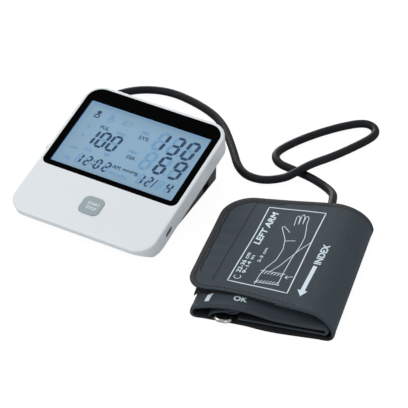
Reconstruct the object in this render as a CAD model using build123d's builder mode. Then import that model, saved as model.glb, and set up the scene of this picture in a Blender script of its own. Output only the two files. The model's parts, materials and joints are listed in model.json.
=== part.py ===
from build123d import *
import math
import os

os.makedirs("parts", exist_ok=True)

# Desktop blood pressure monitor: a tilted console, an air hose and a folded arm cuff.
# Millimetres. The table top is z = 0 and the user sits on the -Y side.
# The origin is the middle of the console's rest face.

# Console deck, the white upper housing
deck_width = 155.0
deck_depth = 175.0
deck_corner = 19.0
deck_tilt = 11.25
deck_height = 36.0
deck_wall = 3.0
side_wall = 2.2
slab_depth = 22.0
side_draft = 1.0
corner_growth = 11.0
top_round = 2.0
rim_round = 1.4
nose_height = 6.0

# Dark lower housing: a plate that closes the deck and a wedge that stands on the table
plate_wall = 2.2
plate_gap = 0.2
base_inset = 5.0
base_width = deck_width - 2 * base_inset
base_front_inset = 27.5
base_front = base_front_inset - deck_depth / 2
base_back = 70.5
base_corner = 7.0
base_round = 1.6
base_wall = 2.2
fit_gap = 0.3

# Display window, its pane and the display behind it
window_side_margin = 3.9
window_back_margin = 4.1
window_front_margin = 62.3
window_width = deck_width - 2 * window_side_margin
window_depth = deck_depth - window_back_margin - window_front_margin
window_y = (window_front_margin - window_back_margin) / 2
window_back_corner = 15.0
window_front_corner = 7.0
window_wall = 1.6
window_gap = 0.15
bezel_side = 6.85
bezel_back = 16.9
bezel_front = 6.0
glass_width = window_width - 2 * bezel_side
glass_depth = window_depth - bezel_back - bezel_front
glass_y = window_y - (bezel_back - bezel_front) / 2
glass_corner = 1.0
pane_wall = 1.0
pane_drop = 0.3
seat_lip = 2.8
lcd_wall = 2.4
light_wall = 3.0
holder_lip = 4.0
holder_wall = 1.5

# Start button and its switch
button_size = 21.5
button_corner = 6.0
button_from_front = 32.4
button_y = button_from_front - deck_depth / 2
button_proud = 0.6
button_gap = 0.3
button_skirt = 1.0
button_flange = 1.0
button_travel = 0.6
stem_radius = 2.5
switch_side = 6.0
switch_height = 3.6
switch_pin_radius = 1.7
switch_pin_height = 0.8
key_board_width = 44.0
key_board_depth = 20.0
board_wall = 1.6

# Main board, its chips and what is soldered on it
main_board_inset = 4.75
main_board_reach = 38.35
main_board_width = glass_width - 2 * main_board_inset
main_board_front = -12.0
main_board_back = glass_y + main_board_reach
post_inset = 6.0
main_board_drop = 11.0
chip_side = 10.0
chip_height = 1.2
chip_x = 30.0
chip_y = 8.0
driver_x = 44.0
driver_y = 24.0
sensor_side = 9.0
sensor_height = 6.0
buzzer_inset = 16.0
buzzer_x = main_board_width / 2 - buzzer_inset
buzzer_y = 46.0
buzzer_radius = 6.0
buzzer_height = 5.0
buzzer_hole = 1.0

# Screws
screw_radius = 1.3
screw_length = 9.0
screw_head_radius = 2.8
screw_head_height = 1.8
screw_hole_gap = 0.3
board_screw_length = 4.9
thread_gap = 0.05
boss_radius = 4.2
column_radius = 5.0
counterbore_radius = 3.3
front_screw_inset = 12.5
front_screw_from_front = 39.5
back_screw_inset = 19.5
back_screw_from_back = 9.5
front_screw_x = base_width / 2 - front_screw_inset
front_screw_y = front_screw_from_front - deck_depth / 2
front_seat = 22.6
back_screw_x = deck_width / 2 - back_screw_inset
back_screw_y = deck_depth / 2 - back_screw_from_back
back_pad_top = 17.5
back_seat = 19.6
slot_cut = 0.7
slot_cut_depth = 0.9

# Batteries and their bay
cell_radius = 7.25
cell_length = 50.5
cell_nub_radius = 2.75
cell_nub = 1.0
cell_side_gap = 0.25
contact_depth = 4.0
contact_sheet = 0.4
contact_width = 9.0
contact_play = 0.1
bay_wall = 1.5
bay_front = -20.5
bay_floor_gap = 0.35
door_wall = 1.8
door_gap = 0.3
door_ledge = 1.0
tongue_wall = 1.2
tongue_rise = 0.6
tongue_reach = 3.3
tongue_width = 8.0
tongue_x = 35.0
tongue_slot = 3.0
grip_length = 24.0
grip_width = 1.0
grip_pitch = 2.2
grip_depth = 0.6
grip_y = -16.0

# Feet
foot_radius = 5.0
foot_height = 1.4
foot_side_inset = 11.5
foot_front_inset = 8.0
foot_back_inset = 9.0
foot_x = base_width / 2 - foot_side_inset
foot_front_y = base_front + foot_front_inset
foot_back_y = base_back - foot_back_inset

# Air pump, valve and pipes
pump_radius = 12.0
pump_length = 32.0
pump_x = -41.0
pump_y = 43.0
pump_z = 14.8
motor_round = 1.0
head_length = 22.0
head_side = 24.0
head_corner = 3.0
crank_radius = 5.0
crank_length = 6.0
crank_offset = 1.2
crank_clear = 0.8
shaft_radius = 1.0
shaft_tail = 8.0
shaft_gap = 0.05
cradle_wall = 3.0
cradle_length = 20.0
cradle_inset = 6.0
pipe_radius = 2.5
pipe_bore = 1.5
nozzle_radius = 1.45
nozzle_length = 4.0
air_y = 20.0
air_z = 8.4
manifold_side = 8.0
manifold_x = -2.0
manifold_boss = 3.0
manifold_boss_rise = 5.17
air_duct = 0.7
valve_side = 13.0
valve_x = 22.0
plunger_radius = 2.0
plunger_length = 8.0
plunger_head_radius = 3.5
plunger_head = 1.0

# Sockets in the console's walls
socket_radius = 5.5
socket_collar = 0.6
socket_bore = 3.0
socket_bore_depth = 9.0
socket_depth = 12.0
plug_nipple_radius = 2.9
plug_nipple_length = 8.0
plug_radius = 5.0
plug_reach = 16.5
plug_tail = 13.0
usb_length = 12.5
usb_height = 6.2
usb_from_front = 41.9
usb_y = usb_from_front - deck_depth / 2
usb_drop = 11.3
usb_inset = 0.5
usb_depth = 7.0
usb_shell = 0.8
power_y = 43.0
power_z = 6.6
power_width = 12.0
power_height = 8.4
power_depth = 5.2
power_body = 8.0
jack_radius = 2.75
jack_depth = 6.0
jack_pin_radius = 1.0

# Air hose
hose_diameter = 7.5
hose_bore = 4.0
hose_rest = 3.75
hump_height = 12.5
hose_lead = 25.0

# Folded arm cuff, in its own frame: u along the strip, v across it
cuff_x = 140.4
cuff_y = -119.1
cuff_turn = 13.5
cuff_width = 153.0
cuff_skew = 7.0
cloth = 2.4
binding_width = 6.0
binding_cloth = 3.0
strip_height = 6.2
upper_height = 12.4
inner_fold_u = 123.0
hump_u = 45.0
hump_rise = 4.6
hump_far_radius = 87.5
hump_near_radius = 130.0
hump_near_turn = 18.4
outer_fold_u = 126.0
outer_fold_radius = 5.0
outer_fold_turn = 15.0
crown_height = 27.3
hinge_gap = 0.3
strip_end_u = 44.0
ring_bar_u = 38.0
ring_span = 14.0
ring_wire = 3.8
ring_corner = 5.0
ring_overhang = 6.5
ring_play = 0.15
loop_cloth = 0.6
port_u = 98.0
port_from_edge = 3.0
port_v = cuff_width - port_from_edge
port_length = 20.0
port_height = 18.0
port_radius = 4.0
port_duct = 1.5
port_stem_duct = 1.2
port_stem_from_edge = 17.0
port_stem_v = cuff_width - port_stem_from_edge
port_stem_radius = 2.5
port_flange_radius = 8.0
port_flange = 0.9
bladder_wall = 0.9
bladder_gap = 0.2
bladder_start_u = 64.0
bladder_length = 50.0
bladder_margin = 10.0
hook_wall = 0.6
hook_u = 1.0
hook_length = 12.0
hook_v = 30.0
hook_width = 100.0

# Planes of the console
tilt = math.radians(deck_tilt)
deck_up = Vector(0, -math.sin(tilt), math.cos(tilt))
deck_back = Vector(0, math.cos(tilt), math.sin(tilt))
deck = Plane(origin=(0, 0, deck_height), x_dir=(1, 0, 0), z_dir=deck_up)
side = Plane(origin=(0, 0, deck_height), x_dir=deck_back, z_dir=(1, 0, 0))
deck_axis = Axis((0, 0, 0), deck_up)
deck_front = -deck_depth / 2
draft = math.tan(math.radians(side_draft))
plate_top = slab_depth - plate_wall
reach = 3 * slab_depth


def save(part, name):
    """Label a finished piece and write it to its own file."""
    part.label = name
    export_step(part, f"parts/{name}.step")


def deck_point(x, y, drop):
    """A point in the room from a place on the deck and its depth under it."""
    return Vector(x, 0, deck_height) + deck_back * y - deck_up * drop


def slab_outline(inset, drop):
    """The deck's outline at a depth; its front corners open out below."""
    shrink = inset + drop * draft
    front_corner = deck_corner + corner_growth * drop / slab_depth
    with BuildSketch(deck.offset(-drop)) as outline:
        Rectangle(deck_width - 2 * shrink, deck_depth - 2 * shrink)
        fillet(outline.vertices().group_by(Axis.Y)[-1], deck_corner - shrink)
        fillet(outline.vertices().group_by(Axis.Y)[0], front_corner - shrink)
    return outline.sketch


def slab(inset, start, height, nose_inset):
    """The deck's drafted block with its front underside cut back at 45 degrees."""
    loft([slab_outline(inset, start), slab_outline(inset, start + height)], ruled=True)
    rise = nose_inset * math.sqrt(2)
    low = (deck_front + reach, rise - nose_height - reach)
    high = (deck_front - reach, rise - nose_height + reach)
    with BuildSketch(side) as under_nose:
        with BuildLine():
            Polyline(high, low, (high[0], low[1]), close=True)
        make_face()
    extrude(under_nose.sketch, amount=deck_width, both=True, mode=Mode.SUBTRACT)


def window_sketch(gap):
    """Outline of the display window: wide corners at the back, tight ones in front."""
    with BuildSketch() as outline:
        with Locations((0, window_y)):
            Rectangle(window_width + 2 * gap, window_depth + 2 * gap)
        fillet(outline.vertices().group_by(Axis.Y)[-1], window_back_corner + gap)
        fillet(outline.vertices().group_by(Axis.Y)[0], window_front_corner + gap)
    return outline.sketch


def deck_plate(width, depth, y, corner, start, height, mode=Mode.ADD):
    """A rounded plate parallel to the deck."""
    with BuildSketch(deck.offset(-start)) as outline:
        with Locations((0, y)):
            RectangleRounded(width, depth, corner)
    extrude(outline.sketch, amount=-height, mode=mode)


def deck_posts(points, radius, start, height, mode=Mode.ADD):
    """Round posts or holes square to the deck."""
    with BuildSketch(deck.offset(-start)) as outline:
        with Locations(*points):
            Circle(radius)
    extrude(outline.sketch, amount=-height, mode=mode)


# Hollow of the white housing, and the layer of it that the closing plate fills
with BuildPart() as case_hollow:
    slab(side_wall, deck_wall, slab_depth, side_wall)

with BuildPart() as plate_blank:
    slab(side_wall + plate_gap, deck_wall, slab_depth, side_wall + plate_gap)
    split(bisect_by=deck.offset(-plate_top), keep=Keep.BOTTOM)
    split(bisect_by=deck.offset(-slab_depth), keep=Keep.TOP)

window_blank = window_sketch(0)
window_seat = window_sketch(window_gap)
front_screws = [(-front_screw_x, front_screw_y), (front_screw_x, front_screw_y)]
back_screws = [(-back_screw_x, back_screw_y), (back_screw_x, back_screw_y)]
key_screws = [(-key_board_width / 2 + 5, button_y), (key_board_width / 2 - 5, button_y)]
button_hole = button_size + 2 * button_gap
stem_end = button_skirt + deck_wall + button_flange + button_gap
key_board_drop = stem_end + button_travel + 0.1 + switch_pin_height + switch_height
usb_plane = Plane(
    origin=deck_point(deck_width / 2, usb_y, usb_drop), x_dir=deck_back, z_dir=(1, 0, 0)
)

# White upper housing
with BuildPart() as top_case:
    slab(0, 0, slab_depth, 0)
    fillet(top_case.faces().sort_by(deck_axis)[-1].edges(), top_round)
    fillet(top_case.faces().sort_by(deck_axis)[0].edges(), rim_round)
    add(case_hollow.part, mode=Mode.SUBTRACT)
    with BuildSketch(deck):
        add(window_seat)
    extrude(amount=-window_wall, mode=Mode.SUBTRACT)
    deck_plate(
        glass_width + 2 * seat_lip, glass_depth + 2 * seat_lip, glass_y, glass_corner,
        0, deck_wall, Mode.SUBTRACT,
    )
    deck_plate(button_hole, button_hole, button_y, button_corner + button_gap, 0, deck_wall, Mode.SUBTRACT)
    deck_posts(front_screws, boss_radius, deck_wall, plate_top - deck_wall)
    deck_posts(back_screws, boss_radius, deck_wall, back_pad_top - deck_wall)
    deck_posts(key_screws, boss_radius - 1, deck_wall, key_board_drop - deck_wall)
    deck_posts(
        front_screws, screw_radius + thread_gap, front_seat - screw_length - screw_hole_gap,
        screw_length, Mode.SUBTRACT,
    )
    deck_posts(
        back_screws, screw_radius + thread_gap, back_seat - screw_length - screw_hole_gap,
        screw_length, Mode.SUBTRACT,
    )
    deck_posts(
        key_screws, screw_radius + thread_gap, key_board_drop - board_screw_length,
        board_screw_length, Mode.SUBTRACT,
    )
    with BuildSketch(usb_plane):
        SlotOverall(usb_length, usb_height)
    extrude(amount=2, mode=Mode.SUBTRACT)
    with BuildSketch(usb_plane):
        SlotOverall(usb_length, usb_height)
    extrude(amount=-side_wall * 3, mode=Mode.SUBTRACT)
save(top_case.part, "top_case")

# Black window frame and the clear pane in it
with BuildPart() as window_frame:
    with BuildSketch(deck):
        add(window_blank)
    extrude(amount=-window_wall)
    deck_plate(glass_width, glass_depth, glass_y, glass_corner, 0, window_wall, Mode.SUBTRACT)
save(window_frame.part, "window_frame")

with BuildPart() as window_pane:
    deck_plate(
        glass_width - 2 * window_gap, glass_depth - 2 * window_gap, glass_y, glass_corner,
        pane_drop, pane_wall,
    )
save(window_pane.part, "window_pane")

# Display stack: liquid crystal glass, light guide and the tray that carries them
lcd_top = window_wall
light_top = lcd_top + lcd_wall
light_bottom = light_top + light_wall
lcd_width = glass_width + 2 * seat_lip - 2 * window_gap
lcd_depth = glass_depth + 2 * seat_lip - 2 * window_gap
tray_width = lcd_width + 2 * holder_lip
tray_depth = lcd_depth + 2 * holder_lip
post_x = main_board_width / 2 - post_inset
tray_posts = [
    (x, y)
    for x in (-post_x, post_x)
    for y in (main_board_front + post_inset, main_board_back - post_inset)
]

with BuildPart() as lcd_glass:
    deck_plate(lcd_width, lcd_depth, glass_y, glass_corner, lcd_top, lcd_wall)
save(lcd_glass.part, "lcd_glass")

with BuildPart() as backlight_panel:
    deck_plate(lcd_width, lcd_depth, glass_y, glass_corner, light_top, light_wall)
save(backlight_panel.part, "backlight_panel")

with BuildPart() as lcd_tray:
    deck_plate(tray_width, tray_depth, glass_y, glass_corner, deck_wall, light_bottom + holder_wall - deck_wall)
    deck_plate(
        lcd_width + 2 * window_gap, lcd_depth + 2 * window_gap, glass_y, glass_corner,
        deck_wall, light_bottom - deck_wall, Mode.SUBTRACT,
    )
    deck_posts(tray_posts, boss_radius, light_bottom, main_board_drop - light_bottom)
    deck_posts(
        tray_posts, screw_radius + thread_gap, light_bottom + screw_hole_gap,
        main_board_drop, Mode.SUBTRACT,
    )
save(lcd_tray.part, "lcd_tray")

# Start button: cap, flange under the deck and a stem over the switch
with BuildPart() as start_button:
    deck_plate(
        button_size, button_size, button_y, button_corner,
        -button_proud, button_proud + deck_wall + button_gap,
    )
    fillet(start_button.faces().sort_by(deck_axis)[-1].edges(), button_proud)
    deck_plate(
        button_hole + 2 * button_skirt, button_hole + 2 * button_skirt, button_y, button_corner,
        deck_wall + button_gap, button_flange,
    )
    deck_posts([(0, button_y)], stem_radius, deck_wall, stem_end - deck_wall)
save(start_button.part, "start_button")

with BuildPart() as key_board:
    deck_plate(key_board_width, key_board_depth, button_y, 2, key_board_drop, board_wall)
    deck_posts(key_screws, screw_radius + screw_hole_gap, key_board_drop, board_wall, Mode.SUBTRACT)
save(key_board.part, "key_board")

with BuildPart() as key_switch:
    deck_plate(
        switch_side, switch_side, button_y, 0.5, key_board_drop - switch_height, switch_height
    )
    deck_posts(
        [(0, button_y)], switch_pin_radius, key_board_drop - switch_height - switch_pin_height,
        switch_pin_height,
    )
save(key_switch.part, "key_switch")

# Main board with its chips, pressure sensor and buzzer on the lower side
board_bottom = main_board_drop + board_wall
with BuildPart() as main_board:
    deck_plate(
        main_board_width, main_board_back - main_board_front,
        (main_board_back + main_board_front) / 2, 2, main_board_drop, board_wall,
    )
    deck_posts(tray_posts, screw_radius + screw_hole_gap, main_board_drop, board_wall, Mode.SUBTRACT)
save(main_board.part, "main_board")

with BuildPart() as board_chips:
    with BuildSketch(deck.offset(-board_bottom)):
        with Locations((-chip_x, chip_y), (chip_x, chip_y)):
            Rectangle(chip_side, chip_side)
        with Locations((-driver_x, driver_y), (driver_x, driver_y)):
            Rectangle(chip_side / 2, chip_side / 2)
    extrude(amount=-chip_height)
save(board_chips.part, "board_chips")

# The air line lies along X; its place seen from the deck sets where the sensor sits
air_deck_y = air_y * math.cos(tilt) + (air_z - deck_height) * math.sin(tilt)
air_drop = air_y * math.sin(tilt) - (air_z - deck_height) * math.cos(tilt)
manifold_boss_drop = air_drop - manifold_boss_rise
sensor_bottom = board_bottom + sensor_height
manifold_left = manifold_x - manifold_side / 2
manifold_right = manifold_x + manifold_side / 2
manifold_back = air_y + manifold_side / 2
short_nozzle = nozzle_length / 2
air_line = Plane(origin=(0, air_y, air_z), x_dir=(0, 1, 0), z_dir=(1, 0, 0))
pump_line = Plane(origin=(manifold_x, 0, air_z), x_dir=(1, 0, 0), z_dir=(0, -1, 0))
sensor_place = [(manifold_x, air_deck_y)]


def rod(plane, at, radius, start, length, mode=Mode.ADD):
    """A round rod or hole square to a plane."""
    with BuildSketch(plane.offset(start)) as outline:
        with Locations(at):
            Circle(radius)
    extrude(outline.sketch, amount=length, mode=mode)


def box(x0, x1, y0, y1, z0, z1, mode=Mode.ADD):
    """A block between two corners, square to the room."""
    with BuildSketch(Plane.XY.offset(z0)) as outline:
        with Locations(((x0 + x1) / 2, (y0 + y1) / 2)):
            Rectangle(x1 - x0, y1 - y0)
    extrude(outline.sketch, amount=z1 - z0, mode=mode)


with BuildPart() as pressure_sensor:
    with BuildSketch(deck.offset(-board_bottom)):
        with Locations(*sensor_place):
            Rectangle(sensor_side, sensor_side)
    extrude(amount=-sensor_height)
    deck_posts(sensor_place, nozzle_radius, sensor_bottom, short_nozzle)
save(pressure_sensor.part, "pressure_sensor")

with BuildPart() as buzzer:
    deck_posts([(buzzer_x, buzzer_y)], buzzer_radius, board_bottom, buzzer_height)
    deck_posts(
        [(buzzer_x, buzzer_y)], buzzer_hole, board_bottom + buzzer_height - buzzer_hole,
        buzzer_hole, Mode.SUBTRACT,
    )
save(buzzer.part, "buzzer")

# Air pump along X: motor, crank and head, with the motor in a foam cradle
pump_axis = Plane(origin=(0, pump_y, pump_z), x_dir=(0, 1, 0), z_dir=(1, 0, 0))
head_x = pump_x + pump_length
head_front = pump_y - head_side / 2

with BuildPart() as pump_motor:
    rod(pump_axis, (0, 0), pump_radius, pump_x, pump_length)
    fillet(pump_motor.edges().filter_by(GeomType.CIRCLE), motor_round)
    rod(pump_axis, (0, 0), shaft_radius + shaft_gap, head_x - shaft_tail, shaft_tail, Mode.SUBTRACT)
save(pump_motor.part, "pump_motor")

with BuildPart() as pump_head:
    with BuildSketch(pump_axis.offset(head_x)):
        RectangleRounded(head_side, head_side, head_corner)
    extrude(amount=head_length)
    rod(
        pump_axis, (0, 0), crank_radius + crank_offset + crank_clear,
        head_x, crank_length + 2 * crank_clear, Mode.SUBTRACT,
    )
    rod(pump_line, (0, 0), nozzle_radius, -head_front, short_nozzle)
    rod(pump_line, (0, 0), air_duct, -pump_y, head_side, Mode.SUBTRACT)
save(pump_head.part, "pump_head")

with BuildPart() as pump_crank:
    rod(pump_axis, (0, 0), shaft_radius, head_x - shaft_tail + fit_gap, shaft_tail + crank_clear)
    rod(pump_axis, (crank_offset, 0), crank_radius, head_x + crank_clear, crank_length)
save(pump_crank.part, "pump_crank")

with BuildPart() as pump_cradle:
    box(
        pump_x + cradle_inset, pump_x + cradle_inset + cradle_length,
        pump_y - pump_radius - cradle_wall, pump_y + pump_radius + cradle_wall,
        base_wall, pump_z - cradle_wall,
    )
    rod(pump_axis, (0, 0), pump_radius + shaft_gap, pump_x, pump_length, Mode.SUBTRACT)
save(pump_cradle.part, "pump_cradle")

# Manifold on the floor of the base, with one nozzle to each pipe
with BuildPart() as air_manifold:
    box(
        manifold_left, manifold_right, air_y - manifold_side / 2, manifold_back,
        base_wall, air_z + manifold_side / 2,
    )
    deck_posts(sensor_place, manifold_boss, manifold_boss_drop, air_drop - manifold_boss_drop)
    deck_posts(sensor_place, nozzle_radius, manifold_boss_drop - short_nozzle, nozzle_length)
    rod(
        air_line, (0, 0), nozzle_radius, manifold_left - nozzle_length,
        manifold_side + 2 * nozzle_length,
    )
    rod(pump_line, (0, 0), nozzle_radius, -manifold_back - short_nozzle, nozzle_length)
    rod(
        air_line, (0, 0), air_duct, manifold_left - nozzle_length,
        manifold_side + 2 * nozzle_length, Mode.SUBTRACT,
    )
    rod(pump_line, (0, 0), air_duct, -manifold_back - short_nozzle, manifold_side, Mode.SUBTRACT)
save(air_manifold.part, "air_manifold")

# Release valve; its plunger lifts to let the air out
valve_top = base_wall + valve_side
valve_at = (valve_x + valve_side / 2, air_y)
with BuildPart() as release_valve:
    box(
        valve_x, valve_x + valve_side, air_y - valve_side / 2, air_y + valve_side / 2,
        base_wall, valve_top,
    )
    rod(air_line, (0, 0), nozzle_radius, valve_x - nozzle_length, nozzle_length)
    rod(
        Plane.XY, valve_at, plunger_radius + screw_hole_gap, valve_top - plunger_length,
        plunger_length, Mode.SUBTRACT,
    )
save(release_valve.part, "release_valve")

with BuildPart() as valve_plunger:
    rod(Plane.XY, valve_at, plunger_radius, valve_top - plunger_length + fit_gap, plunger_length)
    rod(Plane.XY, valve_at, plunger_head_radius, valve_top + fit_gap, plunger_head)
save(valve_plunger.part, "valve_plunger")

# Air socket in the left wall of the base, with a collar inside and one outside
wall_x = base_width / 2
socket_outer = -wall_x - socket_collar
socket_inner = socket_outer + socket_depth
with BuildPart() as air_socket:
    rod(air_line, (0, 0), socket_radius, socket_outer, socket_depth)
    rod(air_line, (0, 0), socket_radius + socket_collar, socket_outer, socket_collar)
    rod(air_line, (0, 0), socket_radius + socket_collar, base_wall - wall_x, socket_collar)
    rod(air_line, (0, 0), nozzle_radius, socket_inner, nozzle_length)
    rod(air_line, (0, 0), socket_bore, socket_outer, socket_bore_depth, Mode.SUBTRACT)
    rod(air_line, (0, 0), air_duct, socket_outer, socket_depth + nozzle_length, Mode.SUBTRACT)
save(air_socket.part, "air_socket")

# Silicone pipes from the manifold to the socket, the valve, the pump and the sensor
pipe_runs = [
    (air_line, socket_inner, manifold_left - socket_inner),
    (air_line, manifold_right, valve_x - manifold_right),
    (pump_line, -head_front, head_front - manifold_back),
]
with BuildPart() as air_pipes:
    for plane, start, length in pipe_runs:
        rod(plane, (0, 0), pipe_radius, start, length)
        rod(plane, (0, 0), pipe_bore, start, length, Mode.SUBTRACT)
    deck_posts(sensor_place, pipe_radius, sensor_bottom, manifold_boss_drop - sensor_bottom)
    deck_posts(
        sensor_place, pipe_bore, sensor_bottom, manifold_boss_drop - sensor_bottom, Mode.SUBTRACT
    )
save(air_pipes.part, "air_pipes")

# Flat port in the right wall of the deck, near the front
with BuildPart() as usb_socket:
    with BuildSketch(usb_plane.offset(-usb_inset)):
        SlotOverall(usb_length - 2 * window_gap, usb_height - 2 * window_gap)
    extrude(amount=-usb_depth)
    with BuildSketch(usb_plane.offset(-usb_inset)):
        SlotOverall(usb_length - 2 * usb_shell, usb_height - 2 * usb_shell)
    extrude(amount=usb_shell - usb_depth, mode=Mode.SUBTRACT)
    with BuildSketch(usb_plane.offset(-usb_inset - usb_depth)):
        Rectangle(usb_length / 2, usb_shell)
    extrude(amount=usb_depth - usb_shell)
save(usb_socket.part, "usb_socket")

# Power socket behind the right wall of the base, with a recess and a round jack
power_plane = Plane(origin=(wall_x - fit_gap, power_y, power_z), x_dir=(0, 1, 0), z_dir=(1, 0, 0))
with BuildPart() as power_socket:
    with BuildSketch(power_plane):
        Rectangle(power_width, power_height)
    extrude(amount=-power_depth - power_body)
    with BuildSketch(power_plane):
        Rectangle(power_width - 2 * usb_shell, power_height - 2 * usb_shell)
    extrude(amount=-power_depth, mode=Mode.SUBTRACT)
    rod(power_plane, (0, 0), jack_radius, -power_depth - jack_depth, jack_depth, Mode.SUBTRACT)
    rod(power_plane, (0, 0), jack_pin_radius, -power_depth - jack_depth, jack_depth)
save(power_socket.part, "power_socket")

# Battery bay sizes
row_pitch = 2 * cell_radius + cell_side_gap
bay_back = bay_front + 2 * row_pitch + cell_side_gap
bay_half = cell_length + contact_depth
cell_z = door_wall + bay_floor_gap + cell_radius
bay_top = cell_z + cell_radius + cell_side_gap
first_row_y = bay_front + cell_side_gap + cell_radius
second_row_y = first_row_y + row_pitch
tongue_bottom = door_wall + tongue_rise
tongue_front = bay_back - door_gap - tongue_wall
foot_places = [(x, y) for x in (-foot_x, foot_x) for y in (foot_front_y, foot_back_y)]

# Dark lower housing: the closing plate, the wedge below it and the battery bay
with BuildPart() as wedge_hollow:
    with BuildSketch(Plane.XY.offset(base_wall)):
        with Locations((0, (base_front + base_back) / 2)):
            RectangleRounded(
                base_width - 2 * base_wall, base_back - base_front - 2 * base_wall,
                base_corner - base_wall,
            )
    extrude(amount=reach)

with BuildPart() as bottom_case:
    with BuildSketch():
        with Locations((0, (base_front + base_back) / 2)):
            RectangleRounded(base_width, base_back - base_front, base_corner)
    extrude(amount=reach)
    split(bisect_by=deck.offset(-plate_top), keep=Keep.BOTTOM)
    fillet(bottom_case.faces().sort_by(Axis.Z)[0].edges(), base_round)
    add(plate_blank.part)
    add(wedge_hollow.part, mode=Mode.SUBTRACT)
    deck_posts(front_screws, column_radius, plate_top, slab_depth)
    deck_posts(back_screws, column_radius, back_pad_top, slab_depth - back_pad_top)
    box(
        -bay_half - bay_wall, bay_half + bay_wall, bay_front - bay_wall, bay_back + bay_wall,
        base_wall, bay_top + bay_wall,
    )
    box(-bay_half, bay_half, bay_front, bay_back, 0, bay_top, Mode.SUBTRACT)
    box(
        -bay_half, bay_half, bay_front, bay_front + door_ledge,
        door_wall + fit_gap, door_wall + fit_gap + door_ledge,
    )
    for x in (-tongue_x, tongue_x):
        box(
            x - tongue_width / 2 - fit_gap, x + tongue_width / 2 + fit_gap,
            bay_back, bay_back + bay_wall, base_wall, base_wall + tongue_slot, Mode.SUBTRACT,
        )
    deck_posts(front_screws, screw_radius + screw_hole_gap, plate_top, slab_depth, Mode.SUBTRACT)
    deck_posts(front_screws, counterbore_radius, front_seat, slab_depth, Mode.SUBTRACT)
    deck_posts(back_screws, screw_radius + screw_hole_gap, back_pad_top, slab_depth, Mode.SUBTRACT)
    deck_posts(back_screws, counterbore_radius, back_seat, slab_depth, Mode.SUBTRACT)
    split(bisect_by=Plane.XY, keep=Keep.TOP)
    with BuildSketch():
        with Locations(*foot_places):
            Circle(foot_radius + window_gap)
    extrude(amount=foot_height, mode=Mode.SUBTRACT)
    rod(air_line, (0, 0), socket_radius + window_gap, -wall_x - 1, base_wall + 1, Mode.SUBTRACT)
    with BuildSketch(power_plane.offset(1)):
        Rectangle(power_width + 2 * window_gap, power_height + 2 * window_gap)
    extrude(amount=-base_wall - 1, mode=Mode.SUBTRACT)
save(bottom_case.part, "bottom_case")

# Battery cover with two tongues that hook over the back of its opening
with BuildPart() as battery_cover:
    with BuildSketch():
        with Locations((0, (bay_front + bay_back) / 2)):
            RectangleRounded(
                2 * (bay_half - door_gap), bay_back - bay_front - 2 * door_gap, door_gap
            )
    extrude(amount=door_wall)
    for x in (-tongue_x, tongue_x):
        box(
            x - tongue_width / 2, x + tongue_width / 2, tongue_front, tongue_front + tongue_wall,
            door_wall, tongue_bottom + tongue_wall,
        )
        box(
            x - tongue_width / 2, x + tongue_width / 2, tongue_front, bay_back + tongue_reach,
            tongue_bottom, tongue_bottom + tongue_wall,
        )
    for n in range(3):
        box(
            -grip_length / 2, grip_length / 2, grip_y + n * grip_pitch,
            grip_y + n * grip_pitch + grip_width, 0, grip_depth, Mode.SUBTRACT,
        )
save(battery_cover.part, "battery_cover")

with BuildPart() as rubber_feet:
    with BuildSketch():
        with Locations(*foot_places):
            Circle(foot_radius)
    extrude(amount=foot_height)
save(rubber_feet.part, "rubber_feet")

# Four cells in two rows, one row turned round, and their contacts
first_row = Plane(origin=(0, first_row_y, cell_z), x_dir=(0, 1, 0), z_dir=(1, 0, 0))
second_row = Plane(origin=(0, second_row_y, cell_z), x_dir=(0, -1, 0), z_dir=(-1, 0, 0))
can_length = cell_length - cell_nub - contact_play
with BuildPart() as batteries:
    for row in (first_row, second_row):
        for start in (-cell_length, 0):
            rod(row, (0, 0), cell_radius, start, can_length)
            rod(row, (0, 0), cell_nub_radius, start + can_length, cell_nub)
save(batteries.part, "batteries")

contact_face = bay_half - contact_sheet
bump = contact_depth - contact_sheet - contact_play
with BuildPart() as battery_contacts:
    for x in (-bay_half, contact_face):
        for y in (first_row_y, second_row_y):
            box(
                x, x + contact_sheet, y - contact_width / 2, y + contact_width / 2,
                cell_z - contact_width / 2, cell_z + contact_width / 2,
            )
    box(
        -bay_half, -contact_face, first_row_y, second_row_y,
        cell_z - contact_width / 4, cell_z + contact_width / 4,
    )
    for row in (first_row, second_row):
        rod(row, (0, 0), cell_nub_radius, contact_face - bump, bump)
        with BuildSketch(row.offset(-contact_face)):
            Circle(contact_width / 2)
        extrude(amount=bump, taper=30)
save(battery_contacts.part, "battery_contacts")

# Screws, each with a cross in its head
def deck_screws(points, seat, length):
    """Screws put in from below, with their heads against one depth under the deck."""
    deck_posts(points, screw_radius, seat - length, length)
    deck_posts(points, screw_head_radius, seat, screw_head_height)
    with BuildSketch(deck.offset(-seat - screw_head_height)) as cross:
        with Locations(*points):
            Rectangle(screw_head_radius, slot_cut)
            Rectangle(slot_cut, screw_head_radius)
    extrude(cross.sketch, amount=slot_cut_depth, mode=Mode.SUBTRACT)


with BuildPart() as case_screws:
    deck_screws(front_screws, front_seat, screw_length)
    deck_screws(back_screws, back_seat, screw_length)
save(case_screws.part, "case_screws")

with BuildPart() as board_screws:
    deck_screws(tray_posts, board_bottom, board_screw_length)
    deck_screws(key_screws, key_board_drop + board_wall, board_screw_length)
save(board_screws.part, "board_screws")

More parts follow.
